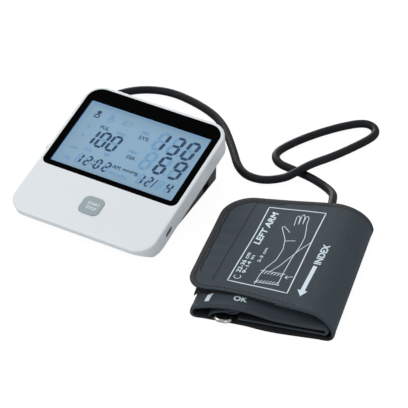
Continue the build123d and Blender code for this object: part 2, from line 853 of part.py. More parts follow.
# Air plug: a nipple, a square elbow and a tail along the base
elbow_x = -wall_x - plug_reach
plug_face = socket_outer - fit_gap
tail_line = Plane(origin=(elbow_x, air_y, air_z), x_dir=(-1, 0, 0), z_dir=(0, 1, 0))
with BuildPart() as air_plug:
    rod(air_line, (0, 0), plug_radius, elbow_x, plug_face - elbow_x)
    rod(tail_line, (0, 0), plug_radius, 0, plug_tail)
    with BuildSketch(tail_line) as elbow_round:
        with BuildLine():
            CenterArc((0, 0), plug_radius, -90, 180)
            Line((0, plug_radius), (0, -plug_radius))
        make_face()
    revolve(axis=Axis(tail_line.origin, (0, 0, 1)), revolution_arc=360)
    rod(air_line, (0, 0), plug_nipple_radius, plug_face, plug_nipple_length)
    rod(air_line, (0, 0), air_duct, elbow_x, plug_face + plug_nipple_length - elbow_x, Mode.SUBTRACT)
    rod(tail_line, (0, 0), air_duct, 0, plug_tail, Mode.SUBTRACT)
save(air_plug.part, "air_plug")

# Air hose, from the plug behind the console to the port on the cuff
turn = math.radians(cuff_turn)
cuff_along = Vector(math.cos(turn), math.sin(turn), 0)
cuff_across = Vector(-math.sin(turn), math.cos(turn), 0)
cuff_origin = Vector(cuff_x, cuff_y, 0)
cuff_side = Plane(origin=cuff_origin, x_dir=cuff_along, z_dir=cuff_across * -1)
cuff_plan = Plane(origin=cuff_origin, x_dir=cuff_along, z_dir=(0, 0, 1))


def cuff_point(u, v, z):
    """A point in the room from a place on the cuff."""
    return cuff_origin + cuff_along * u + cuff_across * v + Vector(0, 0, z)


hose_points = [
    Vector(elbow_x, air_y + plug_tail, air_z),
    Vector(elbow_x, 50, air_z),
    Vector(-93, 78, 4.5),
    Vector(-91, 112, hose_rest),
    Vector(-72, 149, hose_rest),
    Vector(-38, 167, hose_rest),
    Vector(0, 163, hose_rest),
    Vector(36, 149, hose_rest),
    Vector(65.5, 115, hose_rest),
    Vector(89, 83, hose_rest),
    Vector(113, 80, hose_rest),
    Vector(134, 91.5, 7),
    Vector(143, 100, hump_height),
    Vector(150, 118, hump_height),
    Vector(161, 150, hose_rest),
    Vector(177, 182, hose_rest),
    Vector(184.5, 202, hose_rest),
    Vector(178.5, 213.5, hose_rest),
    Vector(165.5, 215.5, hose_rest),
    Vector(147, 197.5, hose_rest),
    Vector(127.5, 171, hose_rest),
    Vector(112.5, 143, hose_rest),
    Vector(107.5, 125, hose_rest),
    Vector(117, 113, hose_rest),
    Vector(136, 111.5, hose_rest),
    Vector(160, 108, hose_rest),
    Vector(184, 96, 6.5),
    cuff_point(port_u, port_v + hose_lead, port_height),
    cuff_point(port_u, port_v, port_height),
]


def bend_radius(a, b, c):
    """Radius that leaves a straight tenth of the shorter run between two bends."""
    turned = math.radians((b - a).get_angle(c - b))
    return 0.45 * min((b - a).length, (c - b).length) / math.tan(turned / 2)


hose_radii = [bend_radius(*hose_points[n:n + 3]) for n in range(len(hose_points) - 2)]
with BuildPart() as air_hose:
    with BuildLine() as hose_path:
        FilletPolyline(*hose_points, radius=hose_radii)
    with BuildSketch(Plane(origin=hose_points[0], z_dir=hose_points[1] - hose_points[0])):
        Circle(hose_diameter / 2)
        Circle(hose_bore / 2, mode=Mode.SUBTRACT)
    sweep(path=hose_path.line)
save(air_hose.part, "air_hose")
hose_section = math.pi * (hose_diameter ** 2 - hose_bore ** 2) / 4
hose_length = sum(edge.length for edge in hose_path.edges())
print("hose radii", [round(r, 1) for r in hose_radii])
print("hose length", round(hose_length, 1), "mm")
print("hose volume", round(air_hose.part.volume, 1), "of", round(hose_section * hose_length, 1))
print("hose lowest", round(air_hose.part.bounding_box().min.Z, 3))

# Folded cuff, one strip wound in four layers; its folds lie askew, further out at the far side
floor_layer = binding_cloth / 2
strip_layer = strip_height
upper_layer = upper_height
inner_fold = (upper_layer - strip_layer) / 2
hump_layer = upper_layer + hump_rise
far_turn = math.acos(1 - hump_rise / (2 * hump_far_radius))
far_reach = 2 * hump_far_radius * math.sin(far_turn)
near_turn = math.radians(hump_near_turn)
left_drop = hump_layer - hump_near_radius * (1 - math.cos(near_turn))
left_reach = hump_u - hump_near_radius * math.sin(near_turn)
left_fold = (left_drop - floor_layer) / (1 + math.cos(near_turn))
left_fold_u = left_reach + left_fold * math.sin(near_turn)
fold_turn = math.radians(outer_fold_turn)
outer_fold_z = floor_layer + outer_fold_radius
crown_start_u = outer_fold_u + outer_fold_radius * math.cos(fold_turn)
crown_start_z = outer_fold_z + outer_fold_radius * math.sin(fold_turn)
crown_radius = (crown_height - crown_start_z) / (1 - math.sin(fold_turn))
hinge_u = crown_start_u - crown_radius * math.cos(fold_turn)
skew = cuff_skew / cuff_width
fold_run = cuff_across + cuff_along * skew


def skewed(u, v):
    """A place on the cuff's plan whose distance along the strip is read at the near side."""
    return (u + skew * v, v)


def along_fold(sketch, length):
    """A profile drawn across the strip, drawn out along its folds."""
    extrude(sketch, amount=length * fold_run.length, dir=fold_run)


def wrap_band(width, start, end):
    """A stretch of the wound strip between two places across it."""
    origin = cuff_point(skew * start, start, 0)
    with BuildSketch(Plane(origin=origin, x_dir=cuff_along, z_dir=cuff_across * -1)) as band:
        with BuildLine():
            Line((strip_end_u, strip_layer), (inner_fold_u, strip_layer))
            CenterArc((inner_fold_u, strip_layer + inner_fold), inner_fold, -90, 180)
            Line((inner_fold_u, upper_layer), (hump_u + far_reach, upper_layer))
            CenterArc(
                (hump_u + far_reach, upper_layer + hump_far_radius), hump_far_radius,
                -90, -math.degrees(far_turn),
            )
            CenterArc(
                (hump_u, hump_layer - hump_far_radius), hump_far_radius,
                90 - math.degrees(far_turn), math.degrees(far_turn),
            )
            CenterArc(
                (hump_u, hump_layer - hump_near_radius), hump_near_radius, 90, hump_near_turn
            )
            CenterArc(
                (left_fold_u, floor_layer + left_fold), left_fold,
                90 + hump_near_turn, 180 - hump_near_turn,
            )
            Line((left_fold_u, floor_layer), (outer_fold_u, floor_layer))
            CenterArc(
                (outer_fold_u, outer_fold_z), outer_fold_radius, -90, 90 + outer_fold_turn
            )
            CenterArc(
                (hinge_u, crown_height - crown_radius), crown_radius,
                outer_fold_turn, 89.8 - outer_fold_turn,
            )
        trace(line_width=width)
    along_fold(band.sketch, end - start)


with BuildPart() as cuff_wrap:
    wrap_band(cloth, binding_width, cuff_width - binding_width)
    rod(
        cuff_plan, (port_u, port_stem_v), port_stem_radius + thread_gap,
        upper_layer - cloth, 2 * cloth, Mode.SUBTRACT,
    )
save(cuff_wrap.part, "cuff_wrap")

with BuildPart() as wrap_binding:
    wrap_band(binding_cloth, 0, binding_width)
    wrap_band(binding_cloth, cuff_width - binding_width, cuff_width)
save(wrap_binding.part, "wrap_binding")

# Top flap of the cuff; it lifts about the outer fold
flap_side = [
    (hinge_u - hinge_gap / 2, crown_height - 0.03), (90, 26.4), (45, 21.4), (20, 18.7), (-16, 16.8)
]
flap_bend = 200.0
flap_near = [(130, 0), (111, 0.9), (86, 6.2), (65, 12.2), (44, 18), (24, 21), (-14.5, 19)]
flap_far = [(-5, 155), (60, 155.5), (98, 157), (112, 156), (130, 154)]
flap_near_corner = 16.0
flap_far_corner = 30.0


def flap_outline(inset):
    """The flap seen from above, drawn past its hinge so that an inset leaves that end open."""
    with BuildSketch() as outline:
        with BuildLine():
            Polyline(*[skewed(u, v) for u, v in flap_near + flap_far], close=True)
        make_face()
        corners = outline.vertices().sort_by(Axis.X)
        fillet(corners[0], flap_near_corner)
        fillet(corners[1], flap_far_corner)
        if inset > 0:
            offset(amount=-inset, mode=Mode.REPLACE)
    return outline.sketch


def flap_band(width):
    """The flap's cloth as seen from its near edge, drawn over its whole width."""
    with BuildSketch(cuff_side) as band:
        with BuildLine():
            FilletPolyline(*flap_side, radius=flap_bend)
        trace(line_width=width)
    along_fold(band.sketch, 1.1 * cuff_width)


with BuildPart() as cuff_flap:
    flap_band(cloth)
    with BuildSketch(cuff_plan):
        add(flap_outline(binding_width))
    extrude(amount=2 * crown_height, mode=Mode.INTERSECT)
save(cuff_flap.part, "cuff_flap")

with BuildPart() as flap_binding:
    flap_band(binding_cloth)
    with BuildSketch(cuff_plan):
        add(flap_outline(0))
        add(flap_outline(binding_width), mode=Mode.SUBTRACT)
    extrude(amount=2 * crown_height, mode=Mode.INTERSECT)
save(flap_binding.part, "flap_binding")

hook_slope = (flap_side[3][1] - flap_side[4][1]) / (flap_side[3][0] - flap_side[4][0])
hook_start = flap_side[4][1] + (hook_u - flap_side[4][0]) * hook_slope - cloth / 2 - thread_gap
hook_end = hook_start + hook_length * hook_slope
with BuildPart() as hook_patch:
    hook_origin = cuff_point(skew * hook_v, hook_v, 0)
    with BuildSketch(Plane(origin=hook_origin, x_dir=cuff_along, z_dir=cuff_across * -1)) as strip:
        with BuildLine():
            Polyline(
                (hook_u, hook_start - hook_wall), (hook_u + hook_length, hook_end - hook_wall),
                (hook_u + hook_length, hook_end), (hook_u, hook_start), close=True,
            )
        make_face()
    along_fold(strip.sketch, hook_width)
save(hook_patch.part, "hook_patch")

# Air bladder between two layers, and the port that feeds it
bladder_top = upper_layer - cloth / 2 - bladder_gap
bladder_bottom = bladder_top - bladder_wall
with BuildPart() as bladder:
    with BuildSketch(cuff_plan.offset(bladder_bottom)):
        with Locations((bladder_start_u + bladder_length / 2, cuff_width / 2)):
            RectangleRounded(bladder_length, cuff_width - 2 * bladder_margin, bladder_margin)
    extrude(amount=bladder_wall)
save(bladder.part, "bladder")

flange_bottom = upper_layer + cloth / 2
with BuildPart() as cuff_port:
    rod(cuff_plan, (port_u, port_stem_v), port_flange_radius, flange_bottom, port_flange)
    rod(
        cuff_plan, (port_u, port_stem_v), port_stem_radius, bladder_top, port_height - bladder_top
    )
    rod(cuff_side, (port_u, port_height), port_radius, port_length - port_v, -port_length)
    rod(
        cuff_side, (port_u, port_height), port_duct, -port_stem_v,
        port_stem_v - port_v, Mode.SUBTRACT,
    )
    rod(
        cuff_plan, (port_u, port_stem_v), port_stem_duct, bladder_top,
        port_height - bladder_top, Mode.SUBTRACT,
    )
save(cuff_port.part, "cuff_port")

# Metal ring at the strip's free end and the cloth loop that holds it
ring_near = -ring_overhang
ring_far = cuff_width + ring_overhang
ring_back_u = ring_bar_u - ring_span
bar_start = ring_near + 2 * ring_corner
bar_end = ring_far - 2 * ring_corner
ring_plan = cuff_plan.offset(strip_layer)
with BuildPart() as d_ring:
    with BuildLine(ring_plan) as ring_path:
        FilletPolyline(
            skewed(ring_bar_u, bar_start), skewed(ring_bar_u, ring_near),
            skewed(ring_back_u, ring_near), skewed(ring_back_u, ring_far),
            skewed(ring_bar_u, ring_far), skewed(ring_bar_u, bar_end),
            radius=ring_corner,
        )
    bar_origin = cuff_point(*skewed(ring_bar_u, bar_start), strip_layer)
    with BuildSketch(Plane(origin=bar_origin, z_dir=fold_run * -1)) as wire:
        Circle(ring_wire / 2)
    sweep(wire.sketch, path=ring_path.line)
    extrude(wire.sketch, amount=-(bar_end - bar_start) * fold_run.length)
save(d_ring.part, "d_ring")

loop_inner = ring_wire / 2 + ring_play
with BuildPart() as ring_loop:
    loop_origin = cuff_point(skew * binding_width, binding_width, 0)
    with BuildSketch(Plane(origin=loop_origin, x_dir=cuff_along, z_dir=cuff_across * -1)) as loop:
        with Locations((ring_bar_u, strip_layer)):
            Circle(loop_inner + loop_cloth)
        with Locations(((ring_bar_u + strip_end_u) / 2, strip_layer)):
            Rectangle(strip_end_u - ring_bar_u, cloth)
        with Locations((ring_bar_u, strip_layer)):
            Circle(loop_inner, mode=Mode.SUBTRACT)
    along_fold(loop.sketch, cuff_width - 2 * binding_width)
save(ring_loop.part, "ring_loop")
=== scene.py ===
import json
import math

import bpy
from mathutils import Matrix, Vector


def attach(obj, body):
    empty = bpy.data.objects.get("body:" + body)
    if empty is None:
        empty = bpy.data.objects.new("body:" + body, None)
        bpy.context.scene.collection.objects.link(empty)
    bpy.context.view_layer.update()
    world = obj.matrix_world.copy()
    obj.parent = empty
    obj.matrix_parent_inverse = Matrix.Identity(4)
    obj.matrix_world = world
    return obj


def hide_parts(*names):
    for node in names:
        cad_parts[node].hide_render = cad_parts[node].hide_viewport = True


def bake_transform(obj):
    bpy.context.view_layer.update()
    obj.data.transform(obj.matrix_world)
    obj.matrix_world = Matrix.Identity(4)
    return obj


# Desktop blood pressure monitor with a hose and a folded cuff, dressed for the camera.
# Metres. The table top is z = 0 and the user sits on the -Y side.

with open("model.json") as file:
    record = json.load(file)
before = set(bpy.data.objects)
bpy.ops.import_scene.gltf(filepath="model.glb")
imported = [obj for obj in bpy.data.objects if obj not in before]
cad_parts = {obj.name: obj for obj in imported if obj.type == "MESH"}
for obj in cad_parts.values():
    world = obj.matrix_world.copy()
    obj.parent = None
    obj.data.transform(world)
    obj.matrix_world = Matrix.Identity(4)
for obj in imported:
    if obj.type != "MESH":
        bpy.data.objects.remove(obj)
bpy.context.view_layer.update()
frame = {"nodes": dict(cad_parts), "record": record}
nodes = frame["nodes"]
MM = 0.001

# Console deck, as the solids have it
DECK_TILT = math.radians(11.25)
DECK_HEIGHT = 36.0
GLASS_WIDTH = 133.5
GLASS_DEPTH = 85.7
GLASS_Y = 23.65
BUTTON_Y = -55.1
BUTTON_PROUD = 0.6
BUTTON_MARK_LIFT = 0.015
BUTTON_MARK_WALL = 0.05
deck_place = Matrix.Translation((0, 0, DECK_HEIGHT * MM)) @ Matrix.Rotation(DECK_TILT, 4, "X")

# Cuff, in its own frame: u along the strip, v across it; CLOTH and TAPE are thicknesses
CUFF_ORIGIN = Vector((140.4, -119.1, 0))
CUFF_TURN = math.radians(13.5)
CUFF_WIDTH = 153.0
SKEW = 7.0 / CUFF_WIDTH
CLOTH = 2.4
CLOTH_INSET = 3.0
CLOTH_SPAN = CUFF_WIDTH - 2 * CLOTH_INSET
BINDING = 6.0
BINDING_CLOTH = 3.0
BINDING_BEVEL = 0.9
TAPE = 0.6
cuff_along = Vector((math.cos(CUFF_TURN), math.sin(CUFF_TURN), 0))
cuff_across = Vector((-math.sin(CUFF_TURN), math.cos(CUFF_TURN), 0))


def cuff_point(u, v, z):
    """A point in the room, in metres, from a place on the cuff in millimetres."""
    return (CUFF_ORIGIN + cuff_along * u + cuff_across * v + Vector((0, 0, z))) * MM


def folded_point(s, v, z):
    """A point in the room; the folds lie askew, so s is read at the cuff's near side."""
    return cuff_point(s + SKEW * v, v, z)


# Camera, at the photograph's place and angle
CAMERA_PLACE = (0.7389, -1.3084, 1.2487)
CAMERA_LENS = 176.47


def set_camera():
    """Adds the camera and turns it, with the photograph's slight roll."""
    azimuth, elevation, roll = math.radians(26.3), math.radians(39.98), math.radians(1.5)
    right = Vector((math.cos(azimuth), math.sin(azimuth), 0))
    ahead = Vector((
        -math.sin(azimuth) * math.cos(elevation),
        math.cos(azimuth) * math.cos(elevation),
        -math.sin(elevation),
    ))
    up = right.cross(ahead)
    across = right * math.cos(roll) + up * math.sin(roll)
    upward = up * math.cos(roll) - right * math.sin(roll)
    bpy.ops.object.camera_add()
    camera = bpy.context.object
    camera.name = "camera"
    turned = Matrix((across, upward, -ahead)).transposed().to_4x4()
    camera.matrix_world = Matrix.Translation(CAMERA_PLACE) @ turned
    camera.data.sensor_width = 36.0
    camera.data.lens = CAMERA_LENS
    camera.data.clip_start = 0.1
    camera.data.clip_end = 20.0
    bpy.context.scene.camera = camera


set_camera()


# Colour and node helpers
def tint(red, green, blue):
    """A colour in linear light from its screen values."""
    channels = []
    for value in (red, green, blue):
        value = value / 255
        channels.append(value / 12.92 if value <= 0.04045 else ((value + 0.055) / 1.055) ** 2.4)
    return (*channels, 1.0)


def new_group(name, inputs, outputs):
    """An empty shader group with its sockets, and its two end nodes."""
    group = bpy.data.node_groups.new(name, "ShaderNodeTree")
    for label, kind, value in inputs:
        socket = group.interface.new_socket(name=label, in_out="INPUT", socket_type=kind)
        if value is not None:
            socket.default_value = value
    for label, kind in outputs:
        group.interface.new_socket(name=label, in_out="OUTPUT", socket_type=kind)
    return group, group.nodes.new("NodeGroupInput"), group.nodes.new("NodeGroupOutput")


def calculated(tree, operation, *terms):
    """The result of a math node whose terms are sockets or numbers."""
    node = tree.nodes.new("ShaderNodeMath")
    node.operation = operation
    for socket, term in zip(node.inputs, terms):
        if isinstance(term, (int, float)):
            socket.default_value = term
        else:
            tree.links.new(term, socket)
    return node.outputs[0]


def darkened(tree, factor, base, darker):
    """A base colour multiplied by a darker one, as far as the factor says."""
    mix = tree.nodes.new("ShaderNodeMix")
    mix.data_type = "RGBA"
    mix.blend_type = "MULTIPLY"
    mix.inputs["B"].default_value = darker
    tree.links.new(factor, mix.inputs["Factor"])
    tree.links.new(base, mix.inputs["A"])
    return mix.outputs["Result"]


def broad_noise(tree, place, scale, detail):
    """A slow noise over a surface."""
    noise = tree.nodes.new("ShaderNodeTexNoise")
    noise.inputs["Scale"].default_value = scale
    noise.inputs["Detail"].default_value = detail
    tree.links.new(place, noise.inputs["Vector"])
    return noise.outputs["Fac"]


def moulded_grain():
    """Fine skin of a moulded housing, with slow changes of tone across it."""
    group, entry, leaving = new_group(
        "moulded_grain",
        [
            ("Vector", "NodeSocketVector", None),
            ("Base", "NodeSocketColor", (1, 1, 1, 1)),
            ("Shade", "NodeSocketFloat", 0.05),
            ("Grain", "NodeSocketFloat", 2600.0),
        ],
        [("Color", "NodeSocketColor"), ("Height", "NodeSocketFloat"), ("Gloss", "NodeSocketFloat")],
    )
    links = group.links
    fine = group.nodes.new("ShaderNodeTexNoise")
    fine.inputs["Detail"].default_value = 2.0
    links.new(entry.outputs["Vector"], fine.inputs["Vector"])
    links.new(entry.outputs["Grain"], fine.inputs["Scale"])
    links.new(fine.outputs["Fac"], leaving.inputs["Height"])
    broad = broad_noise(group, entry.outputs["Vector"], 18.0, 3.0)
    amount = calculated(group, "MULTIPLY", broad, entry.outputs["Shade"])
    shaded = darkened(group, amount, entry.outputs["Base"], (0.6, 0.62, 0.66, 1))
    links.new(shaded, leaving.inputs["Color"])
    spread = group.nodes.new("ShaderNodeMapRange")
    spread.inputs["To Min"].default_value = 0.85
    spread.inputs["To Max"].default_value = 1.15
    links.new(broad, spread.inputs["Value"])
    links.new(spread.outputs["Result"], leaving.inputs["Gloss"])
    return group


def woven_cloth():
    """Close twill with a slow fade, on the cloth's own map in metres."""
    group, entry, leaving = new_group(
        "woven_cloth",
        [
            ("Vector", "NodeSocketVector", None),
            ("Base", "NodeSocketColor", (1, 1, 1, 1)),
            ("Pitch", "NodeSocketFloat", 300.0),
            ("Fade", "NodeSocketFloat", 0.25),
        ],
        [("Color", "NodeSocketColor"), ("Height", "NodeSocketFloat")],
    )
    links = group.links
    bands = []
    for direction, distortion, detail in (("DIAGONAL", 0.4, 1.0), ("Y", 0.0, 2.0)):
        wave = group.nodes.new("ShaderNodeTexWave")
        wave.bands_direction = direction
        wave.inputs["Distortion"].default_value = distortion
        wave.inputs["Detail"].default_value = detail
        links.new(entry.outputs["Vector"], wave.inputs["Vector"])
        links.new(entry.outputs["Pitch"], wave.inputs["Scale"])
        bands.append(wave.outputs["Fac"])
    twill, weft = bands
    links.new(calculated(group, "ADD", twill, weft), leaving.inputs["Height"])
    fade = broad_noise(group, entry.outputs["Vector"], 22.0, 4.0)
    amount = calculated(group, "MULTIPLY", fade, entry.outputs["Fade"])
    faded = darkened(group, amount, entry.outputs["Base"], (0.5, 0.52, 0.55, 1))
    ribbed = darkened(group, twill, faded, (0.78, 0.8, 0.82, 1))
    links.new(ribbed, leaving.inputs["Color"])
    return group


grain_group = moulded_grain()
weave_group = woven_cloth()


def new_material(name, rough, **sockets):
    """A material with its Principled shader; other sockets are given by name."""
    material = bpy.data.materials.new(name)
    material.use_nodes = True
    shader = material.node_tree.nodes["Principled BSDF"]
    shader.inputs["Roughness"].default_value = rough
    for label, value in sockets.items():
        shader.inputs[label.replace("_", " ")].default_value = value
    return material, shader


def effect(material, group, coordinate, **values):
    """A shared effect inside a material, with its own values."""
    tree = material.node_tree
    place = tree.nodes.new("ShaderNodeTexCoord")
    node = tree.nodes.new("ShaderNodeGroup")
    node.node_tree = group
    for label, value in values.items():
        node.inputs[label].default_value = value
    tree.links.new(place.outputs[coordinate], node.inputs["Vector"])
    return node


def bump_from(material, shader, height, distance, strength):
    """A bump that drives the shader's normal from a height."""
    bump = material.node_tree.nodes.new("ShaderNodeBump")
    bump.inputs["Distance"].default_value = distance
    bump.inputs["Strength"].default_value = strength
    material.node_tree.links.new(height, bump.inputs["Height"])
    material.node_tree.links.new(bump.outputs["Normal"], shader.inputs["Normal"])


def moulded(name, colour, rough, shade=0.05, grain=2600.0, depth=0.00002, strength=0.25, **sockets):
    """Moulded plastic, metal or rubber on object coordinates."""
    material, shader = new_material(name, rough, **sockets)
    skin = effect(material, grain_group, "Object", Base=colour, Shade=shade, Grain=grain)
    gloss = calculated(material.node_tree, "MULTIPLY", skin.outputs["Gloss"], rough)
    links = material.node_tree.links
    links.new(skin.outputs["Color"], shader.inputs["Base Color"])
    links.new(gloss, shader.inputs["Roughness"])
    bump_from(material, shader, skin.outputs["Height"], depth, strength)
    return material


def woven(name, colour, pitch, fade, rough=0.85, depth=0.00015, strength=0.6, **sockets):
    """Cloth or tape on its own map."""
    material, shader = new_material(name, rough, **sockets)
    weave = effect(material, weave_group, "UV", Base=colour, Pitch=pitch, Fade=fade)
    material.node_tree.links.new(weave.outputs["Color"], shader.inputs["Base Color"])
    bump_from(material, shader, weave.outputs["Height"], depth, strength)
    return material


finishes = {
    "white_shell": moulded("white_shell", tint(226, 229, 229), 0.34, shade=0.08),
    "black_frame": moulded(
        "black_frame", tint(2, 2, 2), 0.2, shade=0.3, strength=0.05, Specular_IOR_Level=0.02
    ),
    "grey_button": moulded("grey_button", tint(154, 165, 167), 0.4, shade=0.12),
    "dark_shell": moulded("dark_shell", tint(62, 58, 64), 0.5, shade=0.25, strength=0.5),
    "usb_shell": moulded("usb_shell", tint(120, 132, 150), 0.4, shade=0.2),
    "black_plastic": moulded("black_plastic", tint(24, 24, 26), 0.4, shade=0.3),
    "circuit_board": moulded("circuit_board", tint(40, 110, 66), 0.35, shade=0.4, grain=900.0),
    "tray_plastic": moulded("tray_plastic", tint(205, 205, 200), 0.5),
    "light_guide": moulded("light_guide", tint(232, 240, 248), 0.2),
    "steel": moulded("steel", tint(150, 150, 150), 0.3, shade=0.2, Metallic=1.0),
    "ring_metal": moulded("ring_metal", tint(205, 198, 188), 0.16, shade=0.3, Metallic=1.0),
    "hose_rubber": moulded(
        "hose_rubber", tint(17, 19, 23), 0.55, shade=0.3, grain=1400.0, Specular_IOR_Level=0.2
    ),
    "foot_rubber": moulded("foot_rubber", tint(48, 48, 50), 0.8, shade=0.3, strength=0.6),
    "silicone": moulded("silicone", tint(208, 210, 206), 0.35),
    "foam": moulded("foam", tint(62, 62, 66), 0.95, grain=700.0, depth=0.0003, strength=0.8),
    "cell_wrap": moulded("cell_wrap", tint(70, 128, 88), 0.3, shade=0.3),
    "cuff_cloth": woven("cuff_cloth", tint(48, 61, 68), 300.0, 0.45, Sheen_Weight=0.08),
    "edge_tape": woven("edge_tape", tint(55, 55, 57), 170.0, 0.4, strength=0.9),
    "hook_tape": woven("hook_tape", tint(30, 30, 33), 240.0, 0.3, strength=1.0),
    # cuff_lining is the black lining cloth, and is also laid as painted shade on faces and lines that
    # lie in the dark
    "cuff_lining": woven("cuff_lining", tint(9, 12, 15), 300.0, 0.3, rough=0.95),
    "display_dark": moulded("display_dark", tint(8, 60, 100), 0.5, strength=0.0),
    "display_pale": moulded("display_pale", tint(114, 162, 203), 0.5, strength=0.0),
    "print_white": moulded("print_white", tint(214, 227, 233), 0.7, shade=0.25),
    "button_mark": moulded("button_mark", tint(212, 222, 226), 0.5),
    "thread": moulded("thread", tint(58, 44, 47), 0.9),
}


def display_glass():
    """Pale blue display, a little deeper towards its edges, with a painted highlight along its rim.
    """
    material, shader = new_material("display_glass", 0.5)
    tree = material.node_tree
    place = tree.nodes.new("ShaderNodeTexCoord")
    centre = tree.nodes.new("ShaderNodeMapping")
    centre.vector_type = "TEXTURE"
    middle = deck_place @ Vector((0, GLASS_Y * MM, 0))
    centre.inputs["Location"].default_value = middle
    centre.inputs["Rotation"].default_value = (DECK_TILT, 0, 0)
    centre.inputs["Scale"].default_value = (GLASS_WIDTH * MM / 2, GLASS_DEPTH * MM / 2, 1)
    tree.links.new(place.outputs["Object"], centre.inputs["Vector"])
    parts = tree.nodes.new("ShaderNodeSeparateXYZ")
    tree.links.new(centre.outputs["Vector"], parts.inputs["Vector"])
    across = calculated(tree, "ABSOLUTE", parts.outputs["X"])
    upward = calculated(tree, "ABSOLUTE", parts.outputs["Y"])
    reach = calculated(tree, "MAXIMUM", across, upward)
    ramp = tree.nodes.new("ShaderNodeValToRGB")
    ramp.color_ramp.elements[0].position = 0.55
    ramp.color_ramp.elements[0].color = tint(144, 179, 204)
    ramp.color_ramp.elements[1].position = 0.95
    ramp.color_ramp.elements[1].color = tint(138, 171, 193)
    # The last stop is a painted highlight: a bright line along the glass's edge
    rim = ramp.color_ramp.elements.new(1.0)
    rim.color = tint(150, 200, 246)
    tree.links.new(reach, ramp.inputs["Fac"])
    tree.links.new(ramp.outputs["Color"], shader.inputs["Base Color"])
    return material


def cover_pane():
    """Clear cover over the display."""
    material, shader = new_material("cover_pane", 0.08, Alpha=0.03, Specular_IOR_Level=0.05)
    shader.inputs["Base Color"].default_value = tint(12, 14, 16)
    return material


finishes["display"] = display_glass()
finishes["clear_pane"] = cover_pane()

# Each node wears its slot's finish, apart from the flat socket
node_finishes = {"usb_socket": "usb_shell"}
slot_of = {row["node"]: row["material_slot"] for row in frame["record"]["subparts"]}
for name, node in nodes.items():
    finish = finishes[node_finishes.get(name, slot_of[name])]
    node.data.materials.clear()
    node.data.materials.append(finish)


# Modelling helpers
def only(obj):
    """Selects one object and makes it active."""
    bpy.ops.object.select_all(action="DESELECT")
    obj.select_set(True)
    bpy.context.view_layer.objects.active = obj


def apply_modifiers(obj):
    """Applies the object's modifiers in their order."""
    only(obj)
    for modifier in list(obj.modifiers):
        bpy.ops.object.modifier_apply(modifier=modifier.name)


def outward(obj):
    """Merges doubles and turns the normals outward."""
    only(obj)
    bpy.ops.object.mode_set(mode="EDIT")
    bpy.ops.mesh.select_all(action="SELECT")
    bpy.ops.mesh.remove_doubles(threshold=0.000001)
    bpy.ops.mesh.normals_make_consistent(inside=False)
    bpy.ops.object.mode_set(mode="OBJECT")


def joined(name, parts):
    """One object from several."""
    bpy.ops.object.select_all(action="DESELECT")
    for part in parts:
        part.select_set(True)
    bpy.context.view_layer.objects.active = parts[0]
    if len(parts) > 1:
        bpy.ops.object.join()
    whole = bpy.context.object
    whole.name = name
    whole.data.name = name
    return whole


def finished(obj, name, finish, body=None):
    """Names a piece, gives it its finish, and lets it ride on a body."""
    obj.name = name
    obj.data.name = name
    if finish is not None:
        obj.data.materials.clear()
        obj.data.materials.append(finishes[finish])
    if body is not None:
        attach(obj, body)


def thickened(obj, wall, bevel=0.0, lining=0):
    """Gives a sheet its thickness, centred on it, with softened edges."""
    only(obj)
    solid = obj.modifiers.new("wall", "SOLIDIFY")
    solid.material_offset = lining
    solid.thickness = wall * MM
    solid.offset = 0
    solid.use_even_offset = True
    if bevel > 0:
        soften = obj.modifiers.new("edge", "BEVEL")
        soften.width = bevel * MM
        soften.segments = 3
        soften.limit_method = "ANGLE"
        soften.angle_limit = math.radians(50)
    apply_modifiers(obj)
    bpy.ops.object.shade_smooth_by_angle(angle=math.radians(50))


def raised(obj, wall):
    """Gives flat marks a little body and turns it the right way out."""
    only(obj)
    solid = obj.modifiers.new("wall", "SOLIDIFY")
    solid.thickness = wall * MM
    solid.offset = 0
    apply_modifiers(obj)
    outward(obj)


def copied(obj, change):
    """A copy with its own mesh, moved by a matrix."""
    copy = obj.copy()
    copy.data = obj.data.copy()
    bpy.context.collection.objects.link(copy)
    copy.data.transform(change)
    return copy


def lined(sheet, wall, bevel=0.0, outside="cuff_cloth", turned=False):
    """Gives cloth its thickness, with a finish outside and black lining inside."""
    sides = [finishes["cuff_lining"], finishes[outside]]
    for side in (reversed(sides) if turned else sides):
        sheet.data.materials.append(side)
    thickened(sheet, wall, bevel, 1)


def repainted(obj, finish, chosen):
    """Gives a finish to the faces that chosen(s, v, z, normal, lining) picks."""
    obj.data.materials.append(finishes[finish])
    last = len(obj.data.materials) - 1
    for face in obj.data.polygons:
        place = Vector(face.center) / MM - CUFF_ORIGIN
        v = place.dot(cuff_across)
        s = place.dot(cuff_along) - SKEW * v
        lining = obj.data.materials[face.material_index] is finishes["cuff_lining"]
        if chosen(s, v, place.z, Vector(face.normal), lining):
            face.material_index = last


def grid_sheet(columns, rows, place, size=(1.0, 1.0)):
    """A sheet of quads whose points are set by place(column, row), with its map in metres."""
    bpy.ops.object.select_all(action="DESELECT")
    bpy.ops.mesh.primitive_grid_add(x_subdivisions=columns, y_subdivisions=rows, size=1)
    sheet = bpy.context.object
    for vertex in sheet.data.vertices:
        column = round((vertex.co.x + 0.5) * columns)
        row = round((vertex.co.y + 0.5) * rows)
        vertex.co = place(column, row / rows)
    for corner in sheet.data.uv_layers.active.data:
        corner.uv = (corner.uv[0] * size[0], corner.uv[1] * size[1])
    return sheet


def outline_shape(points):
    """A flat face with this outline, in millimetres on its own plane."""
    bpy.ops.object.select_all(action="DESELECT")
    bpy.ops.mesh.primitive_circle_add(vertices=len(points), radius=1, fill_type="NGON")
    shape = bpy.context.object
    for vertex, point in zip(shape.data.vertices, points):
        vertex.co = (point[0], point[1], 0)
    return shape


# Copies of a letter lie a little above each other, so that no two faces share a plane
LETTER_STEP = 0.02


